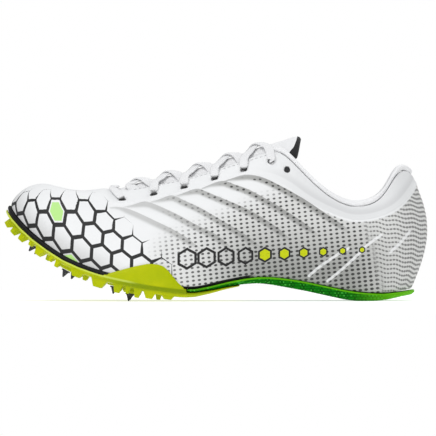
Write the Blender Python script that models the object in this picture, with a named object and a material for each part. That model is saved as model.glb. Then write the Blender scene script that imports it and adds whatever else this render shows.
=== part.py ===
"""Track spike shoe for the left foot.

The toe points along -X, the heel along +X and the outer side of the foot
along -Y. The shoe stands on the floor at z = 0, on its two rear pins and on
the flat of its heel. Lengths are in metres.

The upper is one function of two numbers. The first, called s, runs once round
the shoe in stations: from the middle of the toe (0) along the outer side to
the middle of the heel (17), and back along the inner side. The second, called
t, runs up the wall from the sole (0) to the edge of the throat or collar (1).
The sole, insole, tongue, collar roll and lace all take their places from it.
"""

import math

import bmesh
import bpy
import numpy as np
from mathutils import Vector

# Driving sizes
LENGTH = 0.280
BALL_WIDTH = 0.092
TOE_SPRING = 0.0607
ARCH_HEIGHT = 0.0158
INNER_ARCH_RATIO = 1.2
HEEL_STACK = 0.0076
INSTEP_HEIGHT = 0.0992
HEEL_HEIGHT = 0.0869
HEEL_BULGE = 0.0112
SOLE_THICKNESS = 0.0063
FIT_GAP = 0.0003
INSOLE_GAP = 0.0006

# Where the middle of LENGTH and of BALL_WIDTH lies from the middle of the box
# round the whole shoe, which is the origin
CENTRE_X = 0.0011
CENTRE_Y = 0.0009

# Upper
UPPER_WALL = 0.0016
BAND_STEP = 0.0005
WELT_HEIGHT = 0.0011
WELT_WIDTH = 0.0034
EYELET_RADIUS = 0.00215

# Collar roll
ROLL_HEIGHT = 0.0043
ROLL_THICKNESS = 0.0052
ROLL_START = 9.0

# Insole and tongue
INSOLE_THICKNESS = 0.0024
INSOLE_CLEARANCE = 0.0008
TONGUE_THICKNESS = 0.0028
TONGUE_CLEARANCE = 0.0006
TONGUE_HUMP = 0.0068

# Sole
PLATE_MARGIN = 0.0022
MIDSOLE_MARGIN = 0.0013
SOLE_FLARE = 0.0008
SOLE_TUCK = 0.0016
PLATE_CROWN = 0.0010
FLANGE_HEIGHT = 0.0137
FLANGE_WALL = 0.0016
FLANGE_ROOT = 0.0018

# Lugs and pins
LUG_DEPTH = 0.0053
LUG_THICKNESS = 0.0062
LUG_EDGE = 0.0006
LUG_ROOT = 0.0018
PIN_LENGTH = 0.0050
PIN_REACH = 0.0095
PIN_RADIUS = 0.0023
PIN_TIP_RADIUS = 0.0006
PIN_END_RADIUS = 0.00036
PIN_END_BEVEL = 0.0004
PIN_COLLAR_RADIUS = 0.0031
PIN_COLLAR_HEIGHT = 0.0009
BOSS_RADIUS = 0.0056
BOSS_FACE_RADIUS = 0.0042

# Lace
LACE_WIDTH = 0.0058
LACE_THICKNESS = 0.0013
LACE_CLEARANCE = 0.0006
BAR_STATION = 2.45
LACE_RIM_LIFT = 0.0006
LACE_REACH_RATIO = 0.56

# One row for each station of the upper, from the middle of the toe to the
# middle of the heel. foot_x and rim_x are shares of LENGTH from the toe end.
# The outer and inner columns are shares of BALL_WIDTH, to the inner side
# positive. The height of the foot line is spring x TOE_SPRING + arch x
# ARCH_HEIGHT + stack x HEEL_STACK, and that of the rim is instep x
# INSTEP_HEIGHT + heel x HEEL_HEIGHT. band and eye are the places on the wall
# of the eyestay's lower edge and of the lace holes. full is 1 for a quarter
# round wall and 0 for a straight one, and square below 1 makes it boxier.
# belly is a share of HEEL_BULGE, crown and swell of INSTEP_HEIGHT, and raise
# of BAND_STEP and WELT_HEIGHT.
STATION_COLUMNS = (
    "foot_x", "foot_outer", "foot_inner", "spring", "arch", "stack",
    "rim_x", "rim_outer", "rim_inner", "instep", "heel",
    "band", "eye", "full", "square", "belly", "crown", "swell", "raise",
)
STATIONS = (
    (0.007, 0.098, 0.098, 1.000, 0.00, 0.00,
     0.233, 0.043, 0.043, 0.758, 0.000, 0.62, 0.78, 1.00, 0.70, 0.00, 0.013, 0.039, 0.0),
    (0.021, -0.098, 0.272, 0.890, 0.00, 0.00,
     0.237, -0.005, 0.092, 0.757, 0.000, 0.62, 0.78, 0.98, 0.72, 0.04, 0.013, 0.036, 0.0),
    (0.068, -0.283, 0.386, 0.674, 0.00, 0.00,
     0.248, -0.041, 0.130, 0.752, 0.000, 0.62, 0.78, 0.90, 0.76, 0.07, 0.013, 0.026, 0.0),
    (0.139, -0.397, 0.457, 0.446, 0.00, 0.00,
     0.267, -0.060, 0.147, 0.745, 0.000, 0.64, 0.78, 0.76, 0.88, 0.09, 0.010, 0.014, 0.1),
    (0.217, -0.462, 0.484, 0.301, 0.00, 0.00,
     0.298, -0.068, 0.150, 0.745, 0.000, 0.67, 0.78, 0.62, 1.00, 0.11, 0.004, 0.004, 0.6),
    (0.297, -0.497, 0.473, 0.188, 0.10, 0.00,
     0.363, -0.082, 0.152, 0.779, 0.000, 0.72, 0.83, 0.50, 1.00, 0.13, 0.000, 0.000, 1.0),
    (0.370, -0.500, 0.424, 0.080, 0.30, 0.00,
     0.430, -0.098, 0.152, 0.821, 0.000, 0.77, 0.86, 0.45, 1.00, 0.13, 0.000, 0.000, 1.0),
    (0.446, -0.462, 0.359, 0.000, 0.51, 0.00,
     0.499, -0.114, 0.155, 0.879, 0.000, 0.78, 0.88, 0.42, 1.00, 0.13, 0.000, 0.000, 1.0),
    (0.521, -0.408, 0.299, 0.000, 0.80, 0.00,
     0.567, -0.130, 0.163, 0.943, 0.000, 0.78, 0.875, 0.40, 1.00, 0.13, 0.000, 0.000, 1.0),
    (0.592, -0.359, 0.266, 0.000, 1.00, 0.00,
     0.630, -0.152, 0.179, 1.000, 0.000, 0.69, 0.885, 0.38, 1.00, 0.18, 0.000, 0.000, 1.0),
    (0.653, -0.332, 0.255, 0.000, 0.95, 0.00,
     0.664, -0.196, 0.212, 0.957, 0.000, 0.68, 0.865, 0.30, 1.00, 0.22, 0.000, 0.000, 1.0),
    (0.712, -0.315, 0.261, 0.000, 0.62, 0.34,
     0.703, -0.234, 0.239, 0.420, 0.485, 0.69, 0.880, 0.25, 1.00, 0.27, 0.000, 0.000, 1.0),
    (0.769, -0.310, 0.277, 0.000, 0.26, 0.64,
     0.757, -0.261, 0.261, 0.000, 0.803, 0.76, 0.900, 0.20, 1.00, 0.31, 0.000, 0.000, 1.0),
    (0.825, -0.310, 0.288, 0.000, 0.00, 0.80,
     0.818, -0.272, 0.272, 0.000, 0.712, 0.79, 0.910, 0.20, 1.00, 0.36, 0.000, 0.000, 1.0),
    (0.875, -0.293, 0.283, 0.000, 0.00, 0.66,
     0.880, -0.255, 0.255, 0.000, 0.762, 0.77, 0.900, 0.20, 1.00, 0.45, 0.000, 0.000, 1.0),
    (0.917, -0.245, 0.245, 0.000, 0.00, 0.74,
     0.915, -0.196, 0.196, 0.000, 0.934, 0.69, 0.880, 0.20, 1.00, 0.62, 0.000, 0.000, 1.0),
    (0.948, -0.125, 0.130, 0.000, 0.00, 0.93,
     0.939, -0.109, 0.109, 0.000, 1.000, 0.78, 0.900, 0.15, 1.00, 0.90, 0.000, 0.000, 1.0),
    (0.9586, 0.000, 0.000, 0.000, 0.00, 1.00,
     0.960, 0.000, 0.000, 0.000, 0.953, 0.91, 0.960, 0.10, 1.00, 1.00, 0.000, 0.000, 1.0),
)
LAST = len(STATIONS) - 1
ROUND = 2 * LAST

# Shares of the wall below the band, and the grid's columns in each station
LOWER_ROWS = (0.0, 0.06, 0.17, 0.30, 0.44, 0.58, 0.72, 0.86, 1.0)
COLUMNS_PER_STATION = 2
EYE_ROW_RATIO = 0.62

# Stations with a lace hole, and the unused hole by the ankle
EYELET_STATIONS = (4, 5, 6, 7, 8, 9, 10)

# Thickness of the sole below the foot line at each station, as shares of
# SOLE_THICKNESS. plate reaches down to the underside of the forefoot plate,
# midsole to the underside of the heel wedge.
SOLE_COLUMNS = ("plate", "midsole")
SOLE_STATIONS = (
    (0.50, 0.30),
    (0.50, 0.30),
    (0.48, 0.30),
    (0.50, 0.30),
    (0.56, 0.30),
    (0.64, 0.30),
    (0.88, 0.32),
    (0.81, 0.33),
    (0.73, 0.49),
    (0.68, 0.65),
    (0.68, 0.90),
    (0.68, 0.98),
    (0.68, 1.00),
    (0.68, 1.00),
    (0.68, 0.84),
    (0.68, 0.58),
    (0.68, 0.55),
    (0.68, 0.54),
)
PLATE_BODY_END = 6.75
PLATE_TAIL_END = 8.40
TAIL_STEP_RATIO = 0.04

# The flange that climbs the outer side: station, and share of FLANGE_HEIGHT
FLANGE_ROWS = (
    (4.20, 0.02),
    (4.65, 0.41),
    (5.00, 0.68),
    (5.40, 0.93),
    (5.70, 1.00),
    (5.90, 0.98),
    (6.08, 0.82),
    (6.28, 0.52),
    (6.46, 0.25),
    (6.64, 0.03),
)

# Edge lugs: station of the middle, length along the edge as a share of
# LENGTH, depth as a share of LUG_DEPTH, and set back from the edge as a share
# of LUG_THICKNESS
EDGE_LUGS = (
    (0.45, 0.017, 0.74, 0.98),
    (1.20, 0.021, 0.90, 0.45),
    (1.62, 0.020, 0.80, 0.25),
    (1.98, 0.012, 0.45, 0.10),
    (2.32, 0.030, 0.78, 0.05),
    (2.68, 0.012, 0.50, 0.00),
    (2.88, 0.014, 0.68, 0.00),
    (3.46, 0.040, 0.66, 0.00),
    (4.10, 0.044, 0.95, 0.00),
    (4.64, 0.026, 1.00, 0.00),
    (4.94, 0.014, 0.80, 0.00),
    (5.24, 0.022, 1.00, 0.00),
    (5.62, 0.034, 0.72, 0.00),
    (6.20, 0.038, 0.42, 0.00),
)

# Pins: place of the root as shares of LENGTH and BALL_WIDTH, and the reach
# of the tip below the plate as a share of PIN_REACH. The shoe stands on the
# tips of the last two, which reach to the floor.
PINS = (
    (0.0660, -0.040, 0.62),
    (0.0760, 0.240, 0.62),
    (0.1460, -0.290, 0.74),
    (0.1600, 0.340, 0.74),
    (0.2560, 0.030, 0.68),
    (0.2953, -0.330, None),
    (0.2953, 0.340, None),
)

# Lugs under the middle of the plate: station, share across from the middle to
# the edge, and depth as a share of LUG_DEPTH
INNER_LUGS = (
    (1.7, 0.45, 0.50),
    (2.6, 0.30, 0.50),
    (3.7, 0.42, 0.55),
    (4.6, 0.52, 0.55),
    (5.9, 0.38, 0.55),
    (5.9, 0.00, 0.50),
)

# The free end of the tongue: place along LENGTH and height over the floor as
# a share of INSTEP_HEIGHT, half width and side drop as shares of BALL_WIDTH
TONGUE_END = (
    (0.652, 1.072, 0.140, 0.090),
    (0.672, 1.092, 0.158, 0.112),
    (0.688, 1.106, 0.185, 0.155),
    (0.697, 1.096, 0.182, 0.165),
)
TONGUE_OFFSET_RATIO = 0.012
HUMP_START = 2.8
HUMP_FULL = 4.8
TONGUE_STATIONS = (3.0, 3.5, 4.0, 4.5, 5.0, 5.5, 6.0, 6.5, 7.0, 7.5, 8.0, 8.5, 9.0)
TONGUE_SIDE = (0.84, 0.91, 0.96, 1.0)
TONGUE_ARCH = (0.55, 0.0, -0.55)


def clear_scene():
    for thing in list(bpy.data.objects):
        bpy.data.objects.remove(thing, do_unlink=True)


def material(name, colour, roughness, metallic=0.0):
    made = bpy.data.materials.new(name)
    made.use_nodes = True
    shader = made.node_tree.nodes["Principled BSDF"]
    shader.inputs["Base Color"].default_value = (*colour, 1.0)
    shader.inputs["Roughness"].default_value = roughness
    shader.inputs["Metallic"].default_value = metallic
    return made


def share_to_x(share):
    return (share - 0.5) * LENGTH + CENTRE_X


def share_to_y(share):
    return share * BALL_WIDTH + CENTRE_Y


def side_values(outer):
    """Each station of one side as foot point, rim point and shape values."""
    rows = []
    for numbers in STATIONS:
        row = dict(zip(STATION_COLUMNS, numbers))
        arch = ARCH_HEIGHT if outer else ARCH_HEIGHT * INNER_ARCH_RATIO
        foot_y = row["foot_outer"] if outer else row["foot_inner"]
        rim_y = row["rim_outer"] if outer else row["rim_inner"]
        foot_z = row["spring"] * TOE_SPRING + row["arch"] * arch + row["stack"] * HEEL_STACK
        rim_z = row["instep"] * INSTEP_HEIGHT + row["heel"] * HEEL_HEIGHT
        rows.append((
            share_to_x(row["foot_x"]), share_to_y(foot_y), foot_z,
            share_to_x(row["rim_x"]), share_to_y(rim_y), rim_z,
            row["band"], row["eye"], row["full"], row["square"],
            row["belly"] * HEEL_BULGE, row["crown"] * INSTEP_HEIGHT,
            row["swell"] * INSTEP_HEIGHT, row["raise"],
        ))
    return rows


def ring_values():
    """The stations right round the shoe, outer side first."""
    outer = side_values(True)
    inner = side_values(False)
    return np.array(outer + inner[LAST - 1:0:-1])


RING = ring_values()
BAND, EYE, FULL, SQUARE, BELLY, CROWN, SWELL, RAISE = range(6, 14)


def smooth(values, place):
    """A closed smooth curve through rows of values, read at a station."""
    place = np.asarray(place, float)
    count = len(values)
    base = np.floor(place).astype(int)
    part = (place - base)[..., None]
    before = values[(base - 1) % count]
    start = values[base % count]
    end = values[(base + 1) % count]
    after = values[(base + 2) % count]
    return 0.5 * (
        2.0 * start
        + (end - before) * part
        + (2.0 * before - 5.0 * start + 4.0 * end - after) * part ** 2
        + (3.0 * start - before - 3.0 * end + after) * part ** 3
    )


def unit(vectors):
    return vectors / np.linalg.norm(vectors, axis=-1, keepdims=True)


def feather(place):
    """The line where the upper meets the sole."""
    return smooth(RING, place)[..., :3]


def outward(place):
    """The level direction out of the shoe at the foot line."""
    step = 0.02
    along = feather(np.asarray(place) + step) - feather(np.asarray(place) - step)
    out = np.stack([along[..., 1], -along[..., 0], np.zeros_like(along[..., 0])], axis=-1)
    return unit(out)


def surface(place, rise):
    """The upper's own form: a point for each station and share up the wall."""
    place, rise = np.broadcast_arrays(np.asarray(place, float), np.asarray(rise, float))
    row = smooth(RING, place)
    foot = row[..., :3] + np.array([0.0, 0.0, FIT_GAP])
    rim = row[..., 3:6]
    angle = np.clip(rise, 0.0, 1.0) * math.pi / 2.0
    square = row[..., SQUARE]
    full = row[..., FULL]
    over = full * (1.0 - np.abs(np.cos(angle)) ** square) + (1.0 - full) * rise
    up = full * np.abs(np.sin(angle)) ** square + (1.0 - full) * rise
    point = foot + (rim - foot) * np.stack([over, over, up], axis=-1)
    point = point + outward(place) * (row[..., BELLY] * np.sin(math.pi * rise))[..., None]
    lift = row[..., CROWN] * np.sin(math.pi * over) + row[..., SWELL] * np.sin(2.0 * math.pi * over)
    point[..., 2] += lift
    return point


def slopes(place, rise):
    """The two directions along the surface, each per unit of its number."""
    step = 0.01
    place = np.asarray(place, float)
    rise = np.asarray(rise, float)
    along = (surface(place + step, rise) - surface(place - step, rise)) / (2.0 * step)
    low = np.clip(rise - step, 0.0, 1.0)
    high = np.clip(rise + step, 0.0, 1.0)
    climb = (surface(place, high) - surface(place, low)) / (high - low)[..., None]
    return along, climb


def normal(place, rise):
    along, climb = slopes(place, rise)
    return unit(np.cross(along, climb))


def offset(place, rise, distance):
    """The surface moved out by a distance, or in where it is negative."""
    place, rise = np.broadcast_arrays(np.asarray(place, float), np.asarray(rise, float))
    distance = np.broadcast_to(np.asarray(distance, float), place.shape)
    return surface(place, rise) + normal(place, rise) * distance[..., None]


def wall_length(place):
    shares = np.linspace(0.0, 1.0, 21)
    points = surface(np.asarray(place, float)[..., None], shares)
    return np.linalg.norm(np.diff(points, axis=-2), axis=-1).sum(axis=-1)


def wall_rows(place):
    """Shares up the wall of each grid row, with how far each is raised."""
    row = smooth(RING, place)
    band = row[..., BAND]
    eye = row[..., EYE]
    raised = row[..., RAISE]
    half_welt = 0.5 * WELT_WIDTH / wall_length(place)
    welt_end = band + 2.0 * half_welt
    below = eye - EYE_ROW_RATIO * (eye - welt_end)
    above = eye + EYE_ROW_RATIO * (1.0 - eye)
    shares = [band * share for share in LOWER_ROWS]
    shares += [band + half_welt, welt_end, below, eye, above, np.ones_like(eye)]
    heights = [np.zeros_like(eye)] * len(LOWER_ROWS)
    heights += [raised * WELT_HEIGHT] + [raised * BAND_STEP] * 5
    return np.array(shares), np.array(heights)


EYE_ROW = len(LOWER_ROWS) + 3


def eyelet_ring(place, rise):
    """Station and rise of eight points on a round hole in the surface."""
    along, climb = slopes(place, rise)
    first = unit(along)
    second = unit(climb - first * np.dot(climb, first))
    frame = np.array([
        [np.dot(along, first), np.dot(climb, first)],
        [np.dot(along, second), np.dot(climb, second)],
    ])
    found = []
    for corner in range(8):
        angle = math.radians(-135.0 + 45.0 * corner)
        wanted = EYELET_RADIUS * np.array([math.cos(angle), math.sin(angle)])
        found.append(np.linalg.solve(frame, wanted) + np.array([place, rise]))
    return np.array(found)


def finish(name, mesh_data, look, sharp_angle=40.0):
    """Closes a bmesh into an object with outward faces and smooth shading."""
    bmesh.ops.remove_doubles(mesh_data, verts=mesh_data.verts, dist=1e-6)
    bmesh.ops.dissolve_degenerate(mesh_data, dist=1e-6, edges=mesh_data.edges)
    loose = [vert for vert in mesh_data.verts if not vert.link_faces]
    bmesh.ops.delete(mesh_data, geom=loose, context="VERTS")
    bmesh.ops.recalc_face_normals(mesh_data, faces=mesh_data.faces)
    data = bpy.data.meshes.new(name)
    mesh_data.to_mesh(data)
    mesh_data.free()
    data.shade_smooth()
    data.set_sharp_from_angle(angle=math.radians(sharp_angle))
    data.materials.append(look)
    made = bpy.data.objects.new(name, data)
    bpy.context.scene.collection.objects.link(made)
    return made


def unite(body, tool):
    """Joins the tool's solid into the body and removes the tool."""
    joining = body.modifiers.new("Union", "BOOLEAN")
    joining.operation = "UNION"
    joining.solver = "EXACT"
    joining.object = tool
    bpy.context.view_layer.objects.active = body
    with bpy.context.temp_override(object=body, active_object=body):
        bpy.ops.object.modifier_apply(modifier=joining.name)
    bpy.data.objects.remove(tool, do_unlink=True)


def add_loft(mesh_data, sections):
    """A solid through closed sections of equal point counts, ends capped."""
    rings = [[mesh_data.verts.new(point) for point in section] for section in sections]
    count = len(rings[0])
    for ring, following in zip(rings, rings[1:]):
        for k in range(count):
            after = (k + 1) % count
            mesh_data.faces.new((ring[k], ring[after], following[after], following[k]))
    mesh_data.faces.new(rings[0][::-1])
    mesh_data.faces.new(rings[-1])


def make_upper(look):
    columns = ROUND * COLUMNS_PER_STATION
    places = np.arange(columns) / COLUMNS_PER_STATION
    shares, heights = wall_rows(places)
    rows = len(shares)
    outer_points = offset(places[None, :].repeat(rows, axis=0), shares, heights)
    inner_points = offset(places[None, :].repeat(rows, axis=0), shares, -UPPER_WALL)
    for points in (outer_points, inner_points):
        points[0, :, 2] = surface(places, 0.0)[:, 2]
    mesh_data = bmesh.new()
    outer = [[mesh_data.verts.new(p) for p in row] for row in outer_points]
    inner = [[mesh_data.verts.new(p) for p in row] for row in inner_points]
    holes = [station * COLUMNS_PER_STATION for station in EYELET_STATIONS]
    holes += [columns - column for column in holes]
    pierced = set()
    for column in holes:
        for j in (EYE_ROW - 1, EYE_ROW):
            pierced.add((column - 1, j))
            pierced.add((column, j))
    for i in range(columns):
        k = (i + 1) % columns
        for j in range(rows - 1):
            if (i, j) in pierced:
                continue
            mesh_data.faces.new((outer[j][i], outer[j][k], outer[j + 1][k], outer[j + 1][i]))
            mesh_data.faces.new((inner[j][k], inner[j][i], inner[j + 1][i], inner[j + 1][k]))
        mesh_data.faces.new((outer[0][k], outer[0][i], inner[0][i], inner[0][k]))
        mesh_data.faces.new((outer[-1][i], outer[-1][k], inner[-1][k], inner[-1][i]))
    for column in holes:
        add_eyelet(mesh_data, outer, inner, column, places[column], shares[EYE_ROW][column])
    return finish("upper", mesh_data, look)


def add_eyelet(mesh_data, outer, inner, column, place, rise):
    """Closes the pierced squares round a hole with a tube through the wall."""
    around = ((-1, -1), (0, -1), (1, -1), (1, 0), (1, 1), (0, 1), (-1, 1), (-1, 0))
    ring = eyelet_ring(place, rise)
    raised = float(smooth(RING, place)[RAISE]) * BAND_STEP
    outer_hole = [mesh_data.verts.new(p) for p in offset(ring[:, 0], ring[:, 1], raised)]
    inner_hole = [mesh_data.verts.new(p) for p in offset(ring[:, 0], ring[:, 1], -UPPER_WALL)]
    outer_edge = [outer[EYE_ROW + up][column + side] for side, up in around]
    inner_edge = [inner[EYE_ROW + up][column + side] for side, up in around]
    for k in range(8):
        n = (k + 1) % 8
        mesh_data.faces.new((outer_edge[k], outer_edge[n], outer_hole[n], outer_hole[k]))
        mesh_data.faces.new((inner_edge[n], inner_edge[k], inner_hole[k], inner_hole[n]))
        mesh_data.faces.new((outer_hole[k], outer_hole[n], inner_hole[n], inner_hole[k]))


def make_collar_roll(look):
    """The padded roll on the rim, from one throat corner round to the other."""
    start = ROLL_START
    end = ROUND - start
    places = np.arange(start, end + 0.01, 1.0 / COLUMNS_PER_STATION)
    rim = offset(places, np.ones_like(places), 0.5 * (BAND_STEP - UPPER_WALL))
    out = normal(places, np.ones_like(places))
    climb = unit(slopes(places, np.ones_like(places))[1])
    sections = []
    for k, place in enumerate(places):
        from_end = min(place - start, end - place)
        growth = min(1.0, 0.42 + 0.40 * from_end)
        height = ROLL_HEIGHT * min(1.0, 0.55 + 0.9 * from_end)
        thickness = ROLL_THICKNESS * growth
        middle = rim[k] + climb[k] * (FIT_GAP + 0.5 * height)
        ring = []
        for corner in range(10):
            angle = math.tau * corner / 10
            ring.append(
                middle
                + climb[k] * (0.5 * height * math.cos(angle))
                + out[k] * (0.5 * thickness * math.sin(angle))
            )
        sections.append(ring)
    mesh_data = bmesh.new()
    add_loft(mesh_data, sections)
    return finish("collar_roll", mesh_data, look)


def sole_places(start, end):
    """Stations of the sections between two places, closer at both tips."""
    places = np.concatenate([(0.12, 0.3, 0.6), np.arange(1.0, 16.1, 0.5), (16.4, 16.7, 16.88)])
    between = places[(places > start + 0.05) & (places < end - 0.05)]
    return np.concatenate([(start,), between, (end,)])


def sole_drop(place, column):
    """Thickness of the sole under the foot line at a station of either side."""
    side = [row[SOLE_COLUMNS.index(column)] for row in SOLE_STATIONS]
    values = np.array(side + side[LAST - 1:0:-1])[:, None]
    return float(smooth(values, place)[0]) * SOLE_THICKNESS


def sole_section(place, margin, top_column, bottom_column, crown):
    """A closed section across the sole at one station of both sides."""
    across = np.linspace(-1.0, 1.0, 7)
    sides = []
    for side in (place, ROUND - place):
        foot = feather(side)
        out = outward(side)
        top_drop = 0.0 if top_column is None else sole_drop(side, top_column) + FIT_GAP
        bottom = max(0.0, foot[2] - sole_drop(side, bottom_column))
        top = foot - np.array([0.0, 0.0, top_drop])
        middle = foot + out * (margin + SOLE_FLARE)
        middle[2] = 0.55 * top[2] + 0.45 * bottom
        low = foot + out * (margin - 0.35 * SOLE_TUCK)
        low[2] = min(bottom + 0.45 * SOLE_TUCK, 0.25 * top[2] + 0.75 * bottom)
        under = foot + out * (margin - SOLE_TUCK)
        under[2] = bottom
        sides.append((top + out * margin, middle, low, under))
    (outer_top, outer_middle, outer_low, outer_under) = sides[0]
    (inner_top, inner_middle, inner_low, inner_under) = sides[1]
    width = np.linalg.norm((outer_top - inner_top)[:2])
    sag = crown * min(1.0, width / (0.6 * BALL_WIDTH))
    top = [0.5 * (outer_top * (1.0 - k) + inner_top * (1.0 + k)) for k in across]
    under = []
    for k in across[::-1]:
        point = 0.5 * (outer_under * (1.0 - k) + inner_under * (1.0 + k))
        point[2] = max(0.0, point[2] - sag * (1.0 - k * k))
        under.append(point)
    return top + [inner_middle, inner_low] + under + [outer_low, outer_middle]


def make_midsole(look):
    """The green wedge from the arch to the heel."""
    places = sole_places(PLATE_BODY_END, LAST)
    sections = [sole_section(s, MIDSOLE_MARGIN, None, "midsole", 0.0) for s in places]
    mesh_data = bmesh.new()
    add_loft(mesh_data, sections)
    return finish("midsole", mesh_data, look)


def plate_body(look):
    """The plate without its teeth, and its thin tail under the wedge."""
    body_end = PLATE_BODY_END - TAIL_STEP_RATIO
    sections = []
    for s in sole_places(0.0, body_end):
        sections.append(sole_section(s, PLATE_MARGIN, None, "plate", PLATE_CROWN))
    for s in sole_places(PLATE_BODY_END - 0.5 * TAIL_STEP_RATIO, PLATE_TAIL_END):
        margin = MIDSOLE_MARGIN - 0.5 * SOLE_TUCK * (s - body_end) / (PLATE_TAIL_END - body_end)
        sections.append(sole_section(s, margin, "midsole", "plate", PLATE_CROWN))
    mesh_data = bmesh.new()
    add_loft(mesh_data, sections)
    return finish("spike_plate", mesh_data, look)


def wall_share_at(place, height):
    """The share up the wall that lies at a height over the foot line."""
    shares = np.linspace(0.0, 0.6, 61)
    levels = surface(place, shares)[:, 2] - feather(place)[2]
    return float(np.interp(height, levels, shares))


def plate_flange(look):
    """The wall of the plate that wraps the outer side at the ball."""
    stations = np.array([row[0] for row in FLANGE_ROWS])
    heights = np.array([row[1] for row in FLANGE_ROWS])
    sections = []
    for place in np.linspace(stations[0], stations[-1], 15):
        top = wall_share_at(place, FIT_GAP + FLANGE_HEIGHT * np.interp(place, stations, heights))
        shares = np.linspace(0.0, top, 5)
        foot = feather(place)
        out = outward(place)
        sunk = foot - np.array([0.0, 0.0, FLANGE_ROOT])
        near = [sunk + out * FIT_GAP]
        far = [sunk + out * (FIT_GAP + FLANGE_WALL)]
        for share in shares:
            thin = 1.0 - 0.45 * (share / max(top, 1e-6)) ** 2
            near.append(offset(place, share, FIT_GAP))
            far.append(offset(place, share, FIT_GAP + FLANGE_WALL * thin))
        sections.append(near + far[::-1])
    mesh_data = bmesh.new()
    add_loft(mesh_data, sections)
    return finish("flange", mesh_data, look)


def plate_line():
    """The middle of the plate from toe to arch: places, top and underside."""
    stations = np.linspace(0.0, PLATE_BODY_END, 109)
    line = 0.5 * (feather(stations) + feather(ROUND - stations))
    drops = np.array([sole_drop(s, "plate") for s in stations])
    return line[:, 0], line[:, 2], line[:, 2] - drops


def plate_down(x):
    """The direction square to the plate's underside, and its tilt."""
    places, top, _ = plate_line()
    tilt = math.atan(float(np.interp(x, places, np.gradient(top, places))))
    return np.array([math.sin(tilt), 0.0, -math.cos(tilt)]), tilt


def pin_frame(along_share, across_share, reach_share):
    """Tip, direction and reach of a pin, square to the plate at its root."""
    x = share_to_x(along_share)
    places, _, under = plate_line()
    direction, tilt = plate_down(x)
    sag = PLATE_CROWN * (1.0 - (2.0 * across_share) ** 2)
    root = np.array([x, share_to_y(across_share), float(np.interp(x, places, under)) - sag])
    if reach_share is None:
        low_edge = PIN_END_RADIUS * abs(math.sin(tilt))
        reach = (root[2] - low_edge) / math.cos(tilt)
    else:
        reach = reach_share * PIN_REACH
    return root + direction * reach, direction, reach


def edge_lugs(look):
    """The teeth along both edges of the plate."""
    mesh_data = bmesh.new()
    for station, length, depth, back in EDGE_LUGS:
        for place in (station, ROUND - station):
            foot = feather(place)
            down = plate_down(foot[0])[0]
            out = outward(place)
            out = unit(out - down * np.dot(out, down))
            along = np.cross(down, out)
            edge = PLATE_MARGIN - LUG_EDGE - back * LUG_THICKNESS
            root = foot + out * edge + down * (sole_drop(place, "plate") - LUG_ROOT)
            reach = LUG_ROOT + LUG_DEPTH * depth
            half = 0.5 * LENGTH * length
            top = []
            bottom = []
            for side, inward in ((-1, 0.0), (1, 0.0), (1, 1.0), (-1, 1.0)):
                top.append(root + along * (side * half) - out * (inward * LUG_THICKNESS))
                tip = root + down * reach + along * (side * 0.45 * half)
                bottom.append(tip - out * (LUG_EDGE + inward * 0.6 * LUG_THICKNESS))
            add_loft(mesh_data, [top, bottom])
    return finish("edge_lugs", mesh_data, look)


def turned(mesh_data, profile, tip, direction, sides):
    """A solid of revolution round an axis, from distance and radius pairs."""
    axis = Vector(direction)
    turn = Vector((0.0, 0.0, 1.0)).rotation_difference(axis).to_matrix()
    sections = []
    for distance, radius in profile:
        ring = []
        for k in range(sides):
            angle = math.tau * (k + 0.5) / sides
            flat = Vector((radius * math.cos(angle), radius * math.sin(angle), distance))
            ring.append(Vector(tip) + turn @ flat)
        sections.append(ring)
    add_loft(mesh_data, sections)


def pin_bosses(look):
    """The round seats that the pins are screwed into."""
    mesh_data = bmesh.new()
    for row in PINS:
        tip, direction, reach = pin_frame(*row)
        seat = -(PIN_LENGTH + FIT_GAP)
        profile = (
            (-reach - LUG_ROOT, BOSS_RADIUS),
            (0.6 * seat - 0.4 * reach, BOSS_RADIUS),
            (seat, BOSS_FACE_RADIUS),
        )
        turned(mesh_data, profile, tip, direction, 10)
    return finish("pin_bosses", mesh_data, look)


def inner_lugs(look):
    """The low teeth between the edges."""
    mesh_data = bmesh.new()
    for station, across, depth in INNER_LUGS:
        for side in (-1.0, 1.0) if across else (1.0,):
            k = 0.5 + 0.5 * side * across
            under = [feather(s) for s in (station, ROUND - station)]
            middle = under[0] * (1.0 - k) + under[1] * k
            wide = np.array([0.0, 1.0, 0.0])
            down = plate_down(middle[0])[0]
            along = np.cross(down, wide)
            root = middle + down * (sole_drop(station, "plate") - 0.5 * LUG_ROOT)
            reach = 0.5 * LUG_ROOT + PLATE_CROWN + LUG_DEPTH * depth
            rings = []
            for drop, shrink in ((0.0, 1.0), (reach, 0.5)):
                half = 0.5 * LUG_THICKNESS * shrink
                rings.append([
                    root + down * drop + along * (a * 0.8 * half) + wide * (b * 1.5 * half)
                    for a, b in ((-1, -1), (1, -1), (1, 1), (-1, 1))
                ])
            add_loft(mesh_data, rings)
    return finish("inner_lugs", mesh_data, look)


def make_plate(look):
    """The forefoot plate with its flange, teeth and pin seats as one piece."""
    plate = plate_body(look)
    unite(plate, plate_flange(look))
    unite(plate, edge_lugs(look))
    unite(plate, inner_lugs(look))
    unite(plate, pin_bosses(look))
    plate.data.shade_smooth()
    plate.data.set_sharp_from_angle(angle=math.radians(35.0))
    return plate


def make_pins(look):
    pins = []
    for number, row in enumerate(PINS, start=1):
        tip, direction, _ = pin_frame(*row)
        neck = -(PIN_LENGTH - PIN_COLLAR_HEIGHT)
        profile = (
            (-PIN_LENGTH, PIN_COLLAR_RADIUS),
            (neck, PIN_COLLAR_RADIUS),
            (neck, PIN_RADIUS),
            (-PIN_END_BEVEL, PIN_TIP_RADIUS),
            (0.0, PIN_END_RADIUS),
        )
        mesh_data = bmesh.new()
        turned(mesh_data, profile, tip, direction, 8)
        pins.append(finish(f"spike_{number}", mesh_data, look))
    return pins


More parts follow.
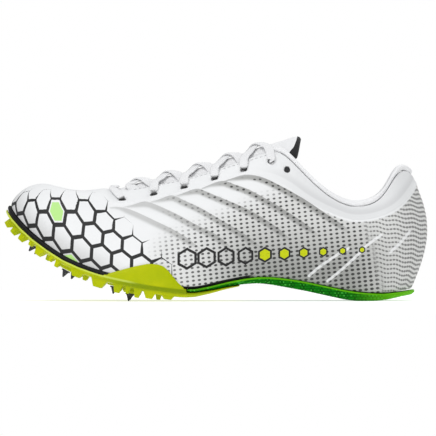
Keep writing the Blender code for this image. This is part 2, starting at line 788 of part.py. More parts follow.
def make_insole(look):
    """The sock liner, clear of the wall all round."""
    inset = -(UPPER_WALL + INSOLE_CLEARANCE)
    across = np.linspace(-1.0, 1.0, 7)
    sections = []
    for place in sole_places(0.0, LAST):
        outer = feather(place) + outward(place) * inset
        inner = feather(ROUND - place) + outward(ROUND - place) * inset
        middle = [0.5 * (outer * (1.0 - k) + inner * (1.0 + k)) for k in across]
        low = [point + np.array([0.0, 0.0, INSOLE_GAP]) for point in middle]
        high = [point + np.array([0.0, 0.0, INSOLE_THICKNESS]) for point in low]
        sections.append(high + low[::-1])
    mesh_data = bmesh.new()
    add_loft(mesh_data, sections)
    return finish("insole", mesh_data, look)


def throat_line(place):
    """The tongue's top across the throat, from outer to inner side."""
    inside = -(UPPER_WALL + TONGUE_CLEARANCE)
    outer = [offset(place, share, inside) for share in TONGUE_SIDE]
    inner = [offset(ROUND - place, share, inside) for share in TONGUE_SIDE]
    arch = [arch_point(place, k) for k in TONGUE_ARCH]
    return outer + arch + inner[::-1]


def arch_point(place, k):
    """A point on the tongue's hump: k is 1 at the outer rim, -1 at the inner."""
    inside = -(UPPER_WALL + TONGUE_CLEARANCE)
    outer = offset(place, 1.0, inside)
    inner = offset(ROUND - place, 1.0, inside)
    growth = min(1.0, max(0.0, (place - HUMP_START) / (HUMP_FULL - HUMP_START)))
    hump = TONGUE_HUMP * growth * (2.0 - growth)
    point = 0.5 * (outer * (1.0 + k) + inner * (1.0 - k))
    return point + np.array([0.0, 0.0, hump * (1.0 - abs(k) ** 2.2)])


def end_line(along, height, half_width, drop):
    """The tongue's top across its free end."""
    points = []
    for k in (-1.0, -0.85, -0.66, -0.45, -0.23, 0.0, 0.23, 0.45, 0.66, 0.85, 1.0):
        points.append(np.array([
            share_to_x(along) - 0.2 * drop * BALL_WIDTH * k * k,
            share_to_y(TONGUE_OFFSET_RATIO + k * half_width),
            height * INSTEP_HEIGHT - drop * BALL_WIDTH * abs(k) ** 1.7,
        ]))
    return points


def sheet_section(line, thickness):
    """A closed section under a line of points, thinner at both edges."""
    line = np.array(line)
    tangent = np.gradient(line, axis=0)
    side = unit(np.stack([np.zeros(len(line)), -tangent[:, 2], tangent[:, 1]], axis=-1))
    side[side[:, 2] < 0.0] *= -1.0
    edge = np.abs(np.linspace(-1.0, 1.0, len(line)))
    depth = thickness * (1.0 - 0.5 * edge ** 4)
    under = line - side * depth[:, None]
    return list(line) + list(under[::-1])


def make_tongue(look):
    sections = []
    for place in TONGUE_STATIONS:
        sections.append(sheet_section(throat_line(place), TONGUE_THICKNESS))
    for row in TONGUE_END:
        sections.append(sheet_section(end_line(*row), TONGUE_THICKNESS))
    mesh_data = bmesh.new()
    add_loft(mesh_data, sections)
    return finish("tongue", mesh_data, look)


def rim_station(x):
    """The outer station whose rim lies at a place along the shoe."""
    stations = np.linspace(0.0, 10.0, 201)
    return float(np.interp(x, surface(stations, 1.0)[:, 0], stations))


def eyelet_place(station):
    """How far up the wall a lace hole is, and where it lies along the shoe."""
    rise = float(smooth(RING, station)[EYE])
    return rise, float(surface(station, rise)[0])


def arch_up(place, k):
    """The direction square to the tongue's hump."""
    along = arch_point(place + 0.1, k) - arch_point(place - 0.1, k)
    across = arch_point(place, k - 0.1) - arch_point(place, k + 0.1)
    up = unit(np.cross(along, across))
    return up if up[2] > 0.0 else -up


def wall_start(number, outer_first, rim):
    """Where the lace leaves a hole and passes over the edge of the throat."""
    rise = eyelet_place(number)[0]
    points, ups = [], []
    for part in (0.42, 1.0):
        station = number + (rim - number) * part
        place = station if outer_first else ROUND - station
        share = rise + (1.0 - rise) * part
        over = BAND_STEP + 0.5 * LACE_THICKNESS + LACE_CLEARANCE + LACE_RIM_LIFT * part
        points.append(offset(place, share, over))
        ups.append(normal(place, share))
    return points, ups


def lace_route(number, outer_first, lift, from_hole):
    """Middle of the lace and its up direction, from one side to the other."""
    over = 0.5 * LACE_THICKNESS + LACE_CLEARANCE
    start_x = eyelet_place(number)[1]
    end_x = eyelet_place(number + 1)[1]
    sign = 1.0 if outer_first else -1.0
    points, ups = [], []
    if from_hole:
        rim = rim_station(start_x + 0.06 * (end_x - start_x))
        points, ups = wall_start(number, outer_first, rim)
    for k in (LACE_REACH_RATIO, 0.30, 0.0, -0.30, -LACE_REACH_RATIO):
        place = rim_station(start_x + (end_x - start_x) * (0.5 - 0.5 * k))
        up = arch_up(place, sign * k)
        raised = over + lift * max(0.0, 1.0 - abs(k) / 0.6)
        points.append(arch_point(place, sign * k) + up * raised)
        ups.append(up)
    return np.array(points), np.array(ups)


def lace_strip(mesh_data, points, ups):
    """A flat ribbon of lace along a route."""
    along = unit(np.gradient(points, axis=0))
    sides = unit(np.cross(along, ups))
    squared = unit(np.cross(sides, along))
    sections = []
    for point, side, up in zip(points, sides, squared):
        wide = side * (0.5 * LACE_WIDTH)
        thick = up * (0.5 * LACE_THICKNESS)
        sections.append([
            point - wide - thick, point + wide - thick, point + wide + thick, point - wide + thick,
        ])
    add_loft(mesh_data, sections)


def make_lace_cross(number, look):
    """One crossing of the lace over the tongue, both runs as one piece."""
    station = EYELET_STATIONS[number - 1]
    from_hole = number > 1
    under_run = bmesh.new()
    lace_strip(under_run, *lace_route(station, True, 0.0, from_hole))
    cross = finish(f"lace_cross_{number}", under_run, look)
    over_run = bmesh.new()
    lace_strip(over_run, *lace_route(station, False, 0.92 * LACE_THICKNESS, from_hole))
    unite(cross, finish("over_run", over_run, look))
    return cross


def make_lace_bar(look):
    """The straight bar across the front of the throat."""
    over = BAND_STEP + 0.5 * LACE_THICKNESS + LACE_CLEARANCE
    first = EYELET_STATIONS[0]
    rise = eyelet_place(first)[0]
    stops = (
        (first - 0.35, rise + 0.30 * (1.0 - rise)),
        (BAR_STATION + 0.5, 0.95),
        (BAR_STATION, 1.0),
    )
    points = [offset(place, share, over) for place, share in stops]
    ups = [normal(place, share) for place, share in stops]
    points += [offset(ROUND - place, share, over) for place, share in stops[::-1]]
    ups += [normal(ROUND - place, share) for place, share in stops[::-1]]
    mesh_data = bmesh.new()
    lace_strip(mesh_data, np.array(points), np.array(ups))
    return finish("lace_bar", mesh_data, look)


def main():
    clear_scene()
    mesh_white = material("upper_mesh", (0.80, 0.81, 0.80), 0.75)
    film_white = material("collar_knit", (0.86, 0.86, 0.86), 0.65)
    lining = material("insole_foam", (0.10, 0.10, 0.11), 0.80)
    green = material("midsole_foam", (0.01, 0.26, 0.01), 0.55)
    lime = material("plate_nylon", (0.55, 0.66, 0.01), 0.35)
    steel = material("pin_steel", (0.03, 0.03, 0.035), 0.35, 1.0)
    lace = material("lace_weave", (0.88, 0.88, 0.88), 0.80)
    make_upper(mesh_white)
    make_collar_roll(film_white)
    make_insole(lining)
    make_midsole(green)
    make_plate(lime)
    make_pins(steel)
    make_tongue(film_white)
    make_lace_bar(lace)
    for number in range(1, 6):
        make_lace_cross(number, lace)


main()
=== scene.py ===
"""Looks of the left track spike shoe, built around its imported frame.

Lengths are in metres unless a table says millimetres. The toe points along
-X, the outer side of the foot faces -Y and the camera, and the floor is z = 0.
"""
import math

import bmesh
import bpy
import numpy as np
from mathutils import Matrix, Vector
from mathutils.bvhtree import BVHTree


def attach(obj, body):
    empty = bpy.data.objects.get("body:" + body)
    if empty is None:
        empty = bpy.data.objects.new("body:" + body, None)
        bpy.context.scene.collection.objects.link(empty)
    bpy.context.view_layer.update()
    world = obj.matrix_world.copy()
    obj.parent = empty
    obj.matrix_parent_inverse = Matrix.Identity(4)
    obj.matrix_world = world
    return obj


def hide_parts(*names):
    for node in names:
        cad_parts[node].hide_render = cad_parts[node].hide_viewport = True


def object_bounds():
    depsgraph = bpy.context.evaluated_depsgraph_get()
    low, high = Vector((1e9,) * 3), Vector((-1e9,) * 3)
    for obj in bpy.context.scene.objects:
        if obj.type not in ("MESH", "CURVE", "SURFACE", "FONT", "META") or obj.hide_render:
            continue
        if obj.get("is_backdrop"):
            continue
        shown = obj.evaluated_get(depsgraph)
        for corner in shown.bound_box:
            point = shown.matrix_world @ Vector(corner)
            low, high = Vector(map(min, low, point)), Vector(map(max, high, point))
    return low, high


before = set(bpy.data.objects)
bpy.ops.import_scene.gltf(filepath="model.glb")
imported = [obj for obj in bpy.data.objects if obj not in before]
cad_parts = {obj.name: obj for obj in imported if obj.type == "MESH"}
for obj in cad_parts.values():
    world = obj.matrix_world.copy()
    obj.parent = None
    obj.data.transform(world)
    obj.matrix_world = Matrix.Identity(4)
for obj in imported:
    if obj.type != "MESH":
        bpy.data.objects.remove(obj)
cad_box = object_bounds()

# Studio
# A round pale floor under the shoe, a large soft lamp over the toe on the
# outer side, weaker ones behind the heel and low in front, and a level camera
# far away.
scene = bpy.context.scene
scene.view_settings.view_transform = "Standard"
PIXEL = 0.00066
VIEW_WIDTH = 436 * PIXEL
SENSOR = 36.0
LENS = 500.0
SHOE_PLANE = -0.020
CENTRE_X = 0.0011
CENTRE_HEIGHT = 83 * PIXEL
LAMP_AIM = (0.0, 0.0, 0.05)
FLOOR_RADIUS = 0.55
camera_data = bpy.data.cameras.new("camera")
camera_data.sensor_width = SENSOR
camera_data.lens = LENS
camera_data.clip_end = 50.0
camera = bpy.data.objects.new("camera", camera_data)
camera.location = (CENTRE_X, SHOE_PLANE - VIEW_WIDTH * LENS / SENSOR, CENTRE_HEIGHT)
camera.rotation_euler = (math.radians(90.0), 0.0, 0.0)
scene.collection.objects.link(camera)
scene.camera = camera


def soft_lamp(name, place, aim, size, power):
    """A square area lamp that faces a point."""
    lamp = bpy.data.lights.new(name, "AREA")
    lamp.size = size
    lamp.energy = power
    made = bpy.data.objects.new(name, lamp)
    made.location = place
    way = Vector(aim) - Vector(place)
    made.rotation_euler = way.to_track_quat("-Z", "Y").to_euler()
    scene.collection.objects.link(made)


soft_lamp("key", (-0.55, -0.90, 1.60), LAMP_AIM, 1.2, 16.0)
soft_lamp("back", (0.90, 0.90, 1.30), LAMP_AIM, 1.2, 10.0)
soft_lamp("front", (0.10, -2.20, 0.60), (0.0, 0.0, 0.04), 1.4, 5.2)

world = bpy.data.worlds.new("studio")
world.use_nodes = True
scene.world = world
sky = world.node_tree
sky.nodes.clear()
seen = sky.nodes.new("ShaderNodeBackground")
seen.inputs["Color"].default_value = (1.0, 1.0, 1.0, 1.0)
lit = sky.nodes.new("ShaderNodeBackground")
lit.inputs["Color"].default_value = (0.97, 0.985, 1.0, 1.0)
lit.inputs["Strength"].default_value = 0.50
chooser = sky.nodes.new("ShaderNodeMixShader")
ray = sky.nodes.new("ShaderNodeLightPath")
out = sky.nodes.new("ShaderNodeOutputWorld")
sky.links.new(ray.outputs["Is Camera Ray"], chooser.inputs[0])
sky.links.new(lit.outputs[0], chooser.inputs[1])
sky.links.new(seen.outputs[0], chooser.inputs[2])
sky.links.new(chooser.outputs[0], out.inputs["Surface"])

bpy.ops.object.select_all(action="DESELECT")
bpy.ops.mesh.primitive_circle_add(
    vertices=96, radius=FLOOR_RADIUS, fill_type="NGON", location=(0.0, 0.0, 0.0))
floor = bpy.context.active_object
floor.name = "floor"
floor_paint = bpy.data.materials.new("pale_floor")
floor_paint.use_nodes = True
floor_looks = {
    "Base Color": (0.60, 0.60, 0.60, 1.0), "Roughness": 0.9, "Specular IOR Level": 0.1,
    "Emission Color": (1.0, 1.0, 1.0, 1.0), "Emission Strength": 0.58,
}
for key, value in floor_looks.items():
    floor_paint.node_tree.nodes["Principled BSDF"].inputs[key].default_value = value
floor.data.materials.append(floor_paint)
floor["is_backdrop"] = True


# Spike plate
# One moulding of lime nylon, glued under the forefoot, with teeth round its
# edge, a wall that climbs the outer side at the ball, and seven seats for pins.
def pick(piece):
    """Leaves one piece selected and active."""
    bpy.ops.object.select_all(action="DESELECT")
    piece.hide_set(False)
    piece.select_set(True)
    bpy.context.view_layer.objects.active = piece


def copy_of(node, name):
    """A merged copy of a CAD node's mesh, in quads where they fit."""
    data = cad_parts[node].data.copy()
    data.name = name
    data.materials.clear()
    made = bpy.data.objects.new(name, data)
    scene.collection.objects.link(made)
    pick(made)
    if data.has_custom_normals:
        bpy.ops.mesh.customdata_custom_splitnormals_clear()
    bpy.ops.object.mode_set(mode="EDIT")
    bpy.ops.mesh.select_all(action="SELECT")
    bpy.ops.mesh.remove_doubles(threshold=0.00002)
    bpy.ops.mesh.tris_convert_to_quads(face_threshold=1.1, shape_threshold=1.1)
    bpy.ops.object.mode_set(mode="OBJECT")
    data.shade_smooth()
    return made


def apply(piece, kind, **settings):
    """Adds one modifier with its settings and applies it."""
    modifier = piece.modifiers.new(kind.title(), kind)
    for key, value in settings.items():
        setattr(modifier, key, value)
    pick(piece)
    bpy.ops.object.modifier_apply(modifier=modifier.name)


def settle(piece, slot, *nodes):
    """Hands a finished piece to the frame."""
    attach(piece, "root")
    if nodes:
        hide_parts(*nodes)


class Nodes:
    """Short ways to lay nodes into a material or a group."""

    def __init__(self, tree):
        self.tree = tree
        self.shader = tree.nodes.get("Principled BSDF")

    def feed(self, socket, value):
        if isinstance(value, bpy.types.NodeSocket):
            self.tree.links.new(value, socket)
        elif isinstance(value, tuple) and len(value) == 3 and socket.type == "RGBA":
            socket.default_value = (*value, 1.0)
        else:
            socket.default_value = value

    def add(self, kind, inputs=None, **settings):
        made = self.tree.nodes.new(kind)
        for key, value in settings.items():
            setattr(made, key, value)
        for key, value in (inputs or {}).items():
            self.feed(made.inputs[key], value)
        return made

    def finish(self, colour, normal=None, roughness=None):
        """Feeds the shader what varies over the surface."""
        looks = {"Base Color": colour, "Normal": normal, "Roughness": roughness}
        for name, value in looks.items():
            if value is not None:
                self.feed(self.shader.inputs[name], value)

    def math(self, operation, first, second=0.0, third=0.0):
        inputs = {0: first, 1: second, 2: third}
        return self.add("ShaderNodeMath", inputs, operation=operation).outputs[0]

    def times(self, first, second):
        return self.math("MULTIPLY", first, second)

    def plus(self, first, second):
        return self.math("ADD", first, second)

    def minus(self, first, second):
        return self.math("SUBTRACT", first, second)

    def choose(self, share, yes, no):
        """One value where share is 1 and the other where it is 0."""
        return self.math("MULTIPLY_ADD", share, self.minus(yes, no), no)

    def ramp(self, value, low, high, start=0.0, end=1.0):
        """A smooth step from start at low to end at high."""
        inputs = {"Value": value, "From Min": low, "From Max": high,
                  "To Min": start, "To Max": end}
        made = self.add("ShaderNodeMapRange", inputs, interpolation_type="SMOOTHSTEP")
        return made.outputs[0]

    def mix(self, share, first, second):
        inputs = {0: share, 6: first, 7: second}
        return self.add("ShaderNodeMix", inputs, data_type="RGBA").outputs[2]

    def noise(self, vector, scale, detail=2.0):
        inputs = {"Vector": vector, "Scale": scale, "Detail": detail}
        return self.add("ShaderNodeTexNoise", inputs).outputs["Fac"]

    def bump(self, height, distance, strength=1.0, normal=None):
        inputs = {"Height": height, "Distance": distance, "Strength": strength}
        if normal is not None:
            inputs["Normal"] = normal
        return self.add("ShaderNodeBump", inputs).outputs["Normal"]

    def object_point(self):
        return self.add("ShaderNodeTexCoord").outputs["Object"]

    def field(self, name):
        return self.add("ShaderNodeAttribute", attribute_name=name).outputs["Fac"]

    def parts(self, vector):
        split = self.add("ShaderNodeSeparateXYZ", {0: vector})
        return split.outputs[0], split.outputs[1], split.outputs[2]

    def group(self, tree, **inputs):
        made = self.add("ShaderNodeGroup", node_tree=tree)
        for key, value in inputs.items():
            self.feed(made.inputs[key.replace("_", " ")], value)
        return made


def new_material(name, **sockets):
    """A Principled material and its nodes."""
    made = bpy.data.materials.new(name)
    made.use_nodes = True
    nodes = Nodes(made.node_tree)
    for key, value in sockets.items():
        nodes.feed(nodes.shader.inputs[key.replace("_", " ")], value)
    return made, nodes


def new_group(name, inputs, outputs):
    """An empty node group whose sockets hold floats, and one called Vector."""
    tree = bpy.data.node_groups.new(name, "ShaderNodeTree")
    for way, labels in (("INPUT", inputs), ("OUTPUT", outputs)):
        for label in labels:
            kind = "NodeSocketVector" if label == "Vector" else "NodeSocketFloat"
            tree.interface.new_socket(label, in_out=way, socket_type=kind)
    nodes = Nodes(tree)
    given = nodes.add("NodeGroupInput").outputs
    return tree, nodes, given, nodes.add("NodeGroupOutput").inputs


# Mould grain: a fine even roughness with wider, weaker waves
grain, g, given, gives = new_group("mould_grain", ["Vector", "Scale"], ["Height"])
fine = g.noise(given["Vector"], given["Scale"], 3.0)
wide = g.noise(given["Vector"], g.times(given["Scale"], 0.12), 1.0)
g.feed(gives["Height"], g.plus(g.times(fine, 0.6), g.times(wide, 0.4)))

# The line where the sole meets the upper, and the lower edge of the collar
# band above it, from the toe round the outer side, in millimetres
FOOT_AND_WELT = (
    (-136.9, 9.9, 60.7, -114.3, 8.1, 77.8), (-133.0, -8.1, 54.0, -111.0, -5.1, 76.4),
    (-119.9, -25.1, 40.9, -99.8, -16.6, 72.5), (-100.0, -35.6, 27.1, -82.3, -20.9, 66.8),
    (-78.1, -41.6, 18.3, -64.8, -21.0, 63.7), (-55.7, -44.8, 13.0, -43.4, -20.2, 66.4),
    (-35.3, -45.1, 9.6, -22.8, -18.7, 71.5), (-14.0, -41.6, 8.1, -2.7, -18.3, 76.4),
    (7.0, -36.6, 12.6, 16.9, -18.1, 82.3), (26.9, -32.1, 15.8, 34.1, -21.3, 81.0),
    (43.9, -29.6, 15.0, 46.2, -23.4, 75.7), (60.5, -28.1, 12.4, 58.9, -25.4, 66.8),
    (76.4, -27.6, 9.0, 73.9, -26.3, 58.8), (92.1, -27.6, 6.1, 90.6, -27.0, 53.4),
    (106.1, -26.1, 5.0, 107.9, -26.3, 55.7), (117.9, -21.6, 5.6, 120.8, -22.9, 62.3),
    (126.5, -10.6, 7.1, 129.8, -12.2, 72.8), (129.5, 0.9, 7.6, 132.3, 0.9, 78.2),
    (126.5, 12.9, 7.1, 129.8, 14.1, 72.8), (117.9, 23.4, 5.6, 120.6, 24.9, 62.3),
    (106.1, 26.9, 5.0, 107.6, 27.9, 55.7), (92.1, 27.4, 6.1, 90.5, 28.4, 53.5),
    (76.4, 26.4, 9.8, 73.7, 27.4, 59.0), (60.5, 24.9, 14.3, 58.6, 25.9, 67.3),
    (43.9, 24.4, 18.0, 46.0, 23.7, 76.5), (26.9, 25.4, 19.0, 34.0, 21.7, 81.8),
    (7.0, 28.4, 15.2, 16.9, 19.8, 82.7), (-14.0, 33.9, 9.7, -2.6, 20.6, 76.7),
    (-35.3, 39.9, 10.5, -22.6, 22.2, 71.7), (-55.7, 44.4, 13.3, -43.1, 25.5, 66.5),
    (-78.1, 45.4, 18.3, -64.6, 28.1, 63.7), (-100.0, 42.9, 27.1, -82.1, 29.4, 66.8),
    (-119.9, 36.4, 40.9, -99.7, 27.5, 72.5), (-133.0, 25.9, 54.0, -111.0, 20.0, 76.4),
)


def smooth_line(points, closed, steps=6):
    """Points in metres on a smooth curve through a table's rows in millimetres."""
    rows = np.array(points, float) / 1000.0
    count = len(rows)
    spans = count if closed else count - 1
    found = []
    for span in range(spans):
        picks = [span - 1, span, span + 1, span + 2]
        if closed:
            picks = [k % count for k in picks]
        else:
            picks = [min(max(k, 0), count - 1) for k in picks]
        before, start, end, after = rows[picks]
        for step in range(steps):
            t = step / steps
            found.append(0.5 * (
                2.0 * start + (end - before) * t
                + (2.0 * before - 5.0 * start + 4.0 * end - after) * t ** 2
                + (3.0 * start - before - 3.0 * end + after) * t ** 3
            ))
    found.append(rows[0] if closed else rows[-1])
    return np.array(found)


def points_of(piece):
    found = np.empty(len(piece.data.vertices) * 3)
    piece.data.vertices.foreach_get("co", found)
    return found.reshape(-1, 3)


def set_field(piece, name, values):
    made = piece.data.attributes.new(name, "FLOAT", "POINT")
    made.data.foreach_set("value", np.asarray(values, np.float32))


foot_line = smooth_line([row[:3] for row in FOOT_AND_WELT], True)
FLAT = np.array([1.0, 1.0, 0.0])


def over_foot(points):
    """Height of each point over the nearest place of the foot line in plan."""
    best = np.full(len(points), np.inf)
    level = np.zeros(len(points))
    for start, end in zip(foot_line[:-1], foot_line[1:]):
        step = (end - start) * FLAT
        share = np.clip(((points - start) * FLAT) @ step / (step @ step), 0.0, 1.0)
        gap = np.linalg.norm((points - start - share[:, None] * step) * FLAT, axis=1)
        closer = gap < best
        best[closer] = gap[closer]
        level[closer] = (start[2] + share * (end[2] - start[2]))[closer]
    return points[:, 2] - level


LIME = (0.39, 0.47, 0.001)
LIME_WARM = (0.50, 0.54, 0.001)
LIME_CREASE_SHADE = (0.22, 0.30, 0.001)
LIME_PALE = (0.72, 0.86, 0.16)
PLATE_VOXEL = 0.00055
PLATE_FACES = 80000
plate = copy_of("spike_plate", "spike_plate_moulded")
plate.data.remesh_voxel_size = PLATE_VOXEL
plate.data.remesh_voxel_adaptivity = 0.0
pick(plate)
bpy.ops.object.voxel_remesh()
apply(plate, "SMOOTH", factor=0.5, iterations=3)
apply(plate, "DECIMATE", ratio=min(1.0, PLATE_FACES / len(plate.data.polygons)))
plate.data.shade_smooth()
set_field(plate, "over_foot", over_foot(points_of(plate)))
nylon, n = new_material(
    "lime_nylon", Roughness=0.38, Specular_IOR_Level=0.08, Coat_Weight=0.02,
    Coat_Roughness=0.15, Subsurface_Weight=0.12, Subsurface_Radius=(0.9, 0.9, 0.2),
    Subsurface_Scale=0.002)
point = n.object_point()
along = n.parts(point)[0]
tone = n.mix(n.ramp(n.noise(point, 60.0), 0.25, 0.8), LIME, LIME_WARM)

# A painted shade in the crease under the flange of the wing, and a painted
# highlight, a pale line where light catches the plate's upper edge round the toe
drop = n.field("over_foot")
crease = n.times(n.ramp(drop, -0.0046, -0.0022), n.ramp(drop, 0.0004, -0.0008))
tone = n.mix(n.times(crease, n.ramp(along, -0.085, -0.050)), tone, LIME_CREASE_SHADE)
edge_light = n.times(n.ramp(drop, -0.0013, -0.0007), n.ramp(drop, 0.0006, 0.0))
edge_light = n.times(edge_light, n.ramp(along, -0.050, -0.060, 0.0, 0.5))
moulded = n.group(grain, Vector=point, Scale=900.0).outputs[0]
n.finish(n.mix(edge_light, tone, LIME_PALE), n.bump(moulded, 0.0001, 0.35))
plate.data.materials.append(nylon)
settle(plate, "plate_nylon", "spike_plate")


# Pins
# Seven short blackened steel points with a round collar, screwed into the
# seats of the plate. They keep the solids of the frame.
STEEL_BLACK = (0.035, 0.035, 0.04)
STEEL_WORN = (0.16, 0.16, 0.165)
PINS = 7
steel, n = new_material("blackened_steel", Metallic=1.0, Roughness=0.3)
point = n.object_point()
worn = n.ramp(n.noise(point, 1400.0), 0.5, 0.75)
uneven = n.ramp(n.noise(point, 500.0), 0.3, 0.7, 0.25, 0.45)
n.finish(n.mix(worn, STEEL_BLACK, STEEL_WORN), roughness=uneven)
for number in range(1, PINS + 1):
    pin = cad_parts[f"spike_{number}"]
    pin.data.materials.clear()
    pin.data.materials.append(steel)


# Heel wedge
# Green moulded foam glued under the upper from the arch to the heel, covered
# in small raised scales with painted light on their tops, painted shade between
# them and painted glints, lighter toward the back, with a painted highlight
# along its upper edge, and the dark insole board on its top.
GREEN = (0.0003, 0.070, 0.0003)
GREEN_LIT = (0.0006, 0.185, 0.0006)
GREEN_EDGE = (0.15, 0.56, 0.003)
GREEN_GLINT = (0.10, 0.55, 0.08)
BOARD_DARK = (0.02, 0.02, 0.02)
SCALE_PITCH = 0.0024
SCALE_ROW = 0.75
SCALE_DEPTH = 0.0004
FIRST_SCALE = -0.0012
STEEP = 0.6


def subdivide(piece, levels):
    apply(piece, "SUBSURF", levels=levels, render_levels=levels)


def normals_of(piece):
    found = np.empty(len(piece.data.vertices) * 3, np.float32)
    piece.data.vertex_normals.foreach_get("vector", found)
    return found.reshape(-1, 3).astype(float)


def set_points(piece, points):
    piece.data.vertices.foreach_set("co", points.astype(np.float32).ravel())
    piece.data.update()


def measure(points, line):
    """For each point its distance from a line, how far along the line it is
    nearest, and the nearest point itself."""
    best = np.full(len(points), np.inf)
    place = np.zeros(len(points))
    near = np.zeros_like(points)
    walked = 0.0
    for start, end in zip(line[:-1], line[1:]):
        step = end - start
        length = float(np.linalg.norm(step))
        share = np.clip((points - start) @ step / max(length * length, 1e-18), 0.0, 1.0)
        foot = start + share[:, None] * step
        gap = np.linalg.norm(points - foot, axis=1)
        closer = gap < best
        best[closer] = gap[closer]
        place[closer] = walked + share[closer] * length
        near[closer] = foot[closer]
        walked += length
    return best, place, near


wedge = copy_of("midsole", "heel_wedge")
bpy.ops.object.mode_set(mode="EDIT")
bpy.ops.mesh.select_all(action="SELECT")
bpy.ops.mesh.subdivide(number_cuts=1)
bpy.ops.object.mode_set(mode="OBJECT")
subdivide(wedge, 2)
points = points_of(wedge)
normals = normals_of(wedge)
drop = over_foot(points)

# Scales in rows, every second row moved by half a scale: the walls count
# their rows upward and the sole counts them across
up_or_across = np.where(np.abs(normals[:, 2]) < STEEP, points[:, 2], points[:, 1])
column = points[:, 0] / SCALE_PITCH
row = up_or_across / (SCALE_ROW * SCALE_PITCH)
line_of = np.round(row)
half_step = 0.5 * (line_of % 2.0)
middle = np.round(column - half_step) + half_step
gap = np.hypot(column - middle, (row - line_of) * SCALE_ROW) / 0.5
scale = np.clip(1.15 - gap ** 2, 0.0, 1.0)
covered = np.clip((FIRST_SCALE - drop) / 0.0008, 0.0, 1.0)
set_points(wedge, points - normals * (SCALE_DEPTH * (1.0 - scale) * covered)[:, None])
set_field(wedge, "over_foot", drop)
set_field(wedge, "scale", scale)

# The insole board: the wedge's top inside the foot line
inward, _, near = measure(points * FLAT, foot_line * FLAT)
centre = np.stack([
    np.clip(points[:, 0], -0.02, 0.10),
    np.full(len(points), 0.002),
    np.zeros(len(points)),
], axis=1)
reach = np.linalg.norm(points * FLAT - centre, axis=1)
inward = np.where(reach < np.linalg.norm(near - centre, axis=1), inward, -inward)
board = np.clip((inward - 0.0003) / 0.0004, 0.0, 1.0) * (normals[:, 2] > 0.3)
set_field(wedge, "board", board)
foam, n = new_material("green_foam", Roughness=0.55, Specular_IOR_Level=0.08)
point = n.object_point()
along = n.parts(point)[0]
scale = n.field("scale")
# Painted light on the tops of the scales, painted shade in the hollows between them, and painted
# glints on some tops
tone = n.mix(n.ramp(scale, 0.15, 0.95), GREEN, GREEN_LIT)
glint = n.times(n.ramp(scale, 0.80, 0.98), n.ramp(n.noise(point, 260.0), 0.46, 0.60))
tone = n.mix(n.times(glint, 0.8), tone, GREEN_GLINT)
# Lighter toward the back, and a painted highlight along the upper edge
rear = n.times(n.ramp(along, 0.085, 0.131), 0.85)
rim = n.ramp(n.field("over_foot"), -0.0014, -0.0007)
rim = n.times(rim, n.ramp(along, -0.022, 0.020, 0.35, 0.75))
tone = n.mix(n.math("MAXIMUM", rear, rim), tone, GREEN_EDGE)
n.finish(n.mix(n.field("board"), tone, BOARD_DARK), n.bump(scale, 0.0004, 0.6))
wedge.data.materials.append(foam)
settle(wedge, "midsole_foam", "midsole")


# Insole
# A thin dark liner of foam under cloth, a little smaller than the inside, laid
# loose on the board.
LINER_DARK = (0.020, 0.020, 0.022)
LINER_LIGHT = (0.075, 0.075, 0.08)
weave, g, given, gives = new_group(
    "plain_weave", ["Across", "Along", "Pitch"], ["Height"])
turn = g.math("DIVIDE", math.pi, given["Pitch"])
warp = g.math("SINE", g.times(given["Across"], turn))
weft = g.math("SINE", g.times(given["Along"], turn))
g.feed(gives["Height"], g.math("MULTIPLY_ADD", g.times(warp, weft), 0.5, 0.5))

liner = copy_of("insole", "insole_liner")
subdivide(liner, 2)
cloth, n = new_material("dark_liner_cloth", Roughness=0.85, Sheen_Weight=0.2)
px, py, pz = n.parts(n.object_point())
thread = n.group(weave, Across=px, Along=py, Pitch=0.0007).outputs[0]
n.finish(n.mix(thread, LINER_DARK, LINER_LIGHT), n.bump(thread, 0.0002, 0.6))
liner.data.materials.append(cloth)
settle(liner, "insole_foam", "insole")


# Upper
# White mesh under a smooth film welded on at the toe, the eyestay and the
# collar, lined in grey knit. Six grey ribs run down each side from the
# eyestay, where the film stops and the open mesh shows.

# Middle lines of the ribs and of the smooth heel bars, x and z in millimetres
RIBS = (
    ((-69.3, 62.0), (-63.6, 61.4), (-54.7, 58.1), (-41.4, 51.9), (-27.3, 44.9),
     (-14.9, 37.0), (-8.8, 33.0)),
    ((-60.4, 62.3), (-53.8, 63.2), (-46.8, 64.2), (-39.8, 62.0), (-27.3, 56.3),
     (-14.9, 49.6), (-1.7, 43.0), (8.1, 36.0), (12.5, 32.9)),
    ((-42.7, 65.6), (-36.1, 66.9), (-29.1, 68.2), (-22.0, 65.1), (-10.5, 59.8),
     (2.8, 51.9), (16.0, 43.9), (24.9, 37.8), (31.1, 34.2)),
    ((-26.0, 69.6), (-19.4, 71.3), (-12.2, 72.6), (-4.3, 69.6), (7.2, 64.8),
     (19.6, 59.4), (31.5, 52.5), (41.4, 45.5), (50.9, 38.0)),
    ((-9.1, 74.4), (-3.4, 76.6), (4.5, 77.9), (11.7, 75.4), (20.4, 72.3),
     (32.1, 66.0), (42.7, 59.7), (55.2, 51.5), (68.9, 41.7)),
    ((5.5, 79.2), (11.7, 80.8), (20.9, 82.0), (30.1, 80.0), (42.0, 74.3),
     (56.7, 66.0), (69.7, 57.4), (82.7, 48.8), (89.5, 43.6)),
)
HEEL_BARS = (
    ((61.0, 16.6), (68.0, 22.6), (78.3, 29.7), (87.1, 34.8)),
    ((73.2, 13.2), (82.7, 20.9), (92.2, 29.7), (100.1, 37.4), (108.7, 43.6)),
    ((114.6, 32.3), (121.2, 38.3), (127.8, 46.2)),
)
RIB_HALF_WIDTH = 0.0016
RIB_DEPTH = 0.0006
RIB_END = 0.014
PUFF = 0.00018
FOOT_X = (-0.112, -0.10, -0.08, -0.05, 0.0, 0.10)
FOOT_Z = (0.060, 0.055, 0.045, 0.038, 0.040, 0.035)


def step_up(values, low, high):
    """A smooth step from 0 at low to 1 at high."""
    share = np.clip((values - low) / (high - low), 0.0, 1.0)
    return share * share * (3.0 - 2.0 * share)


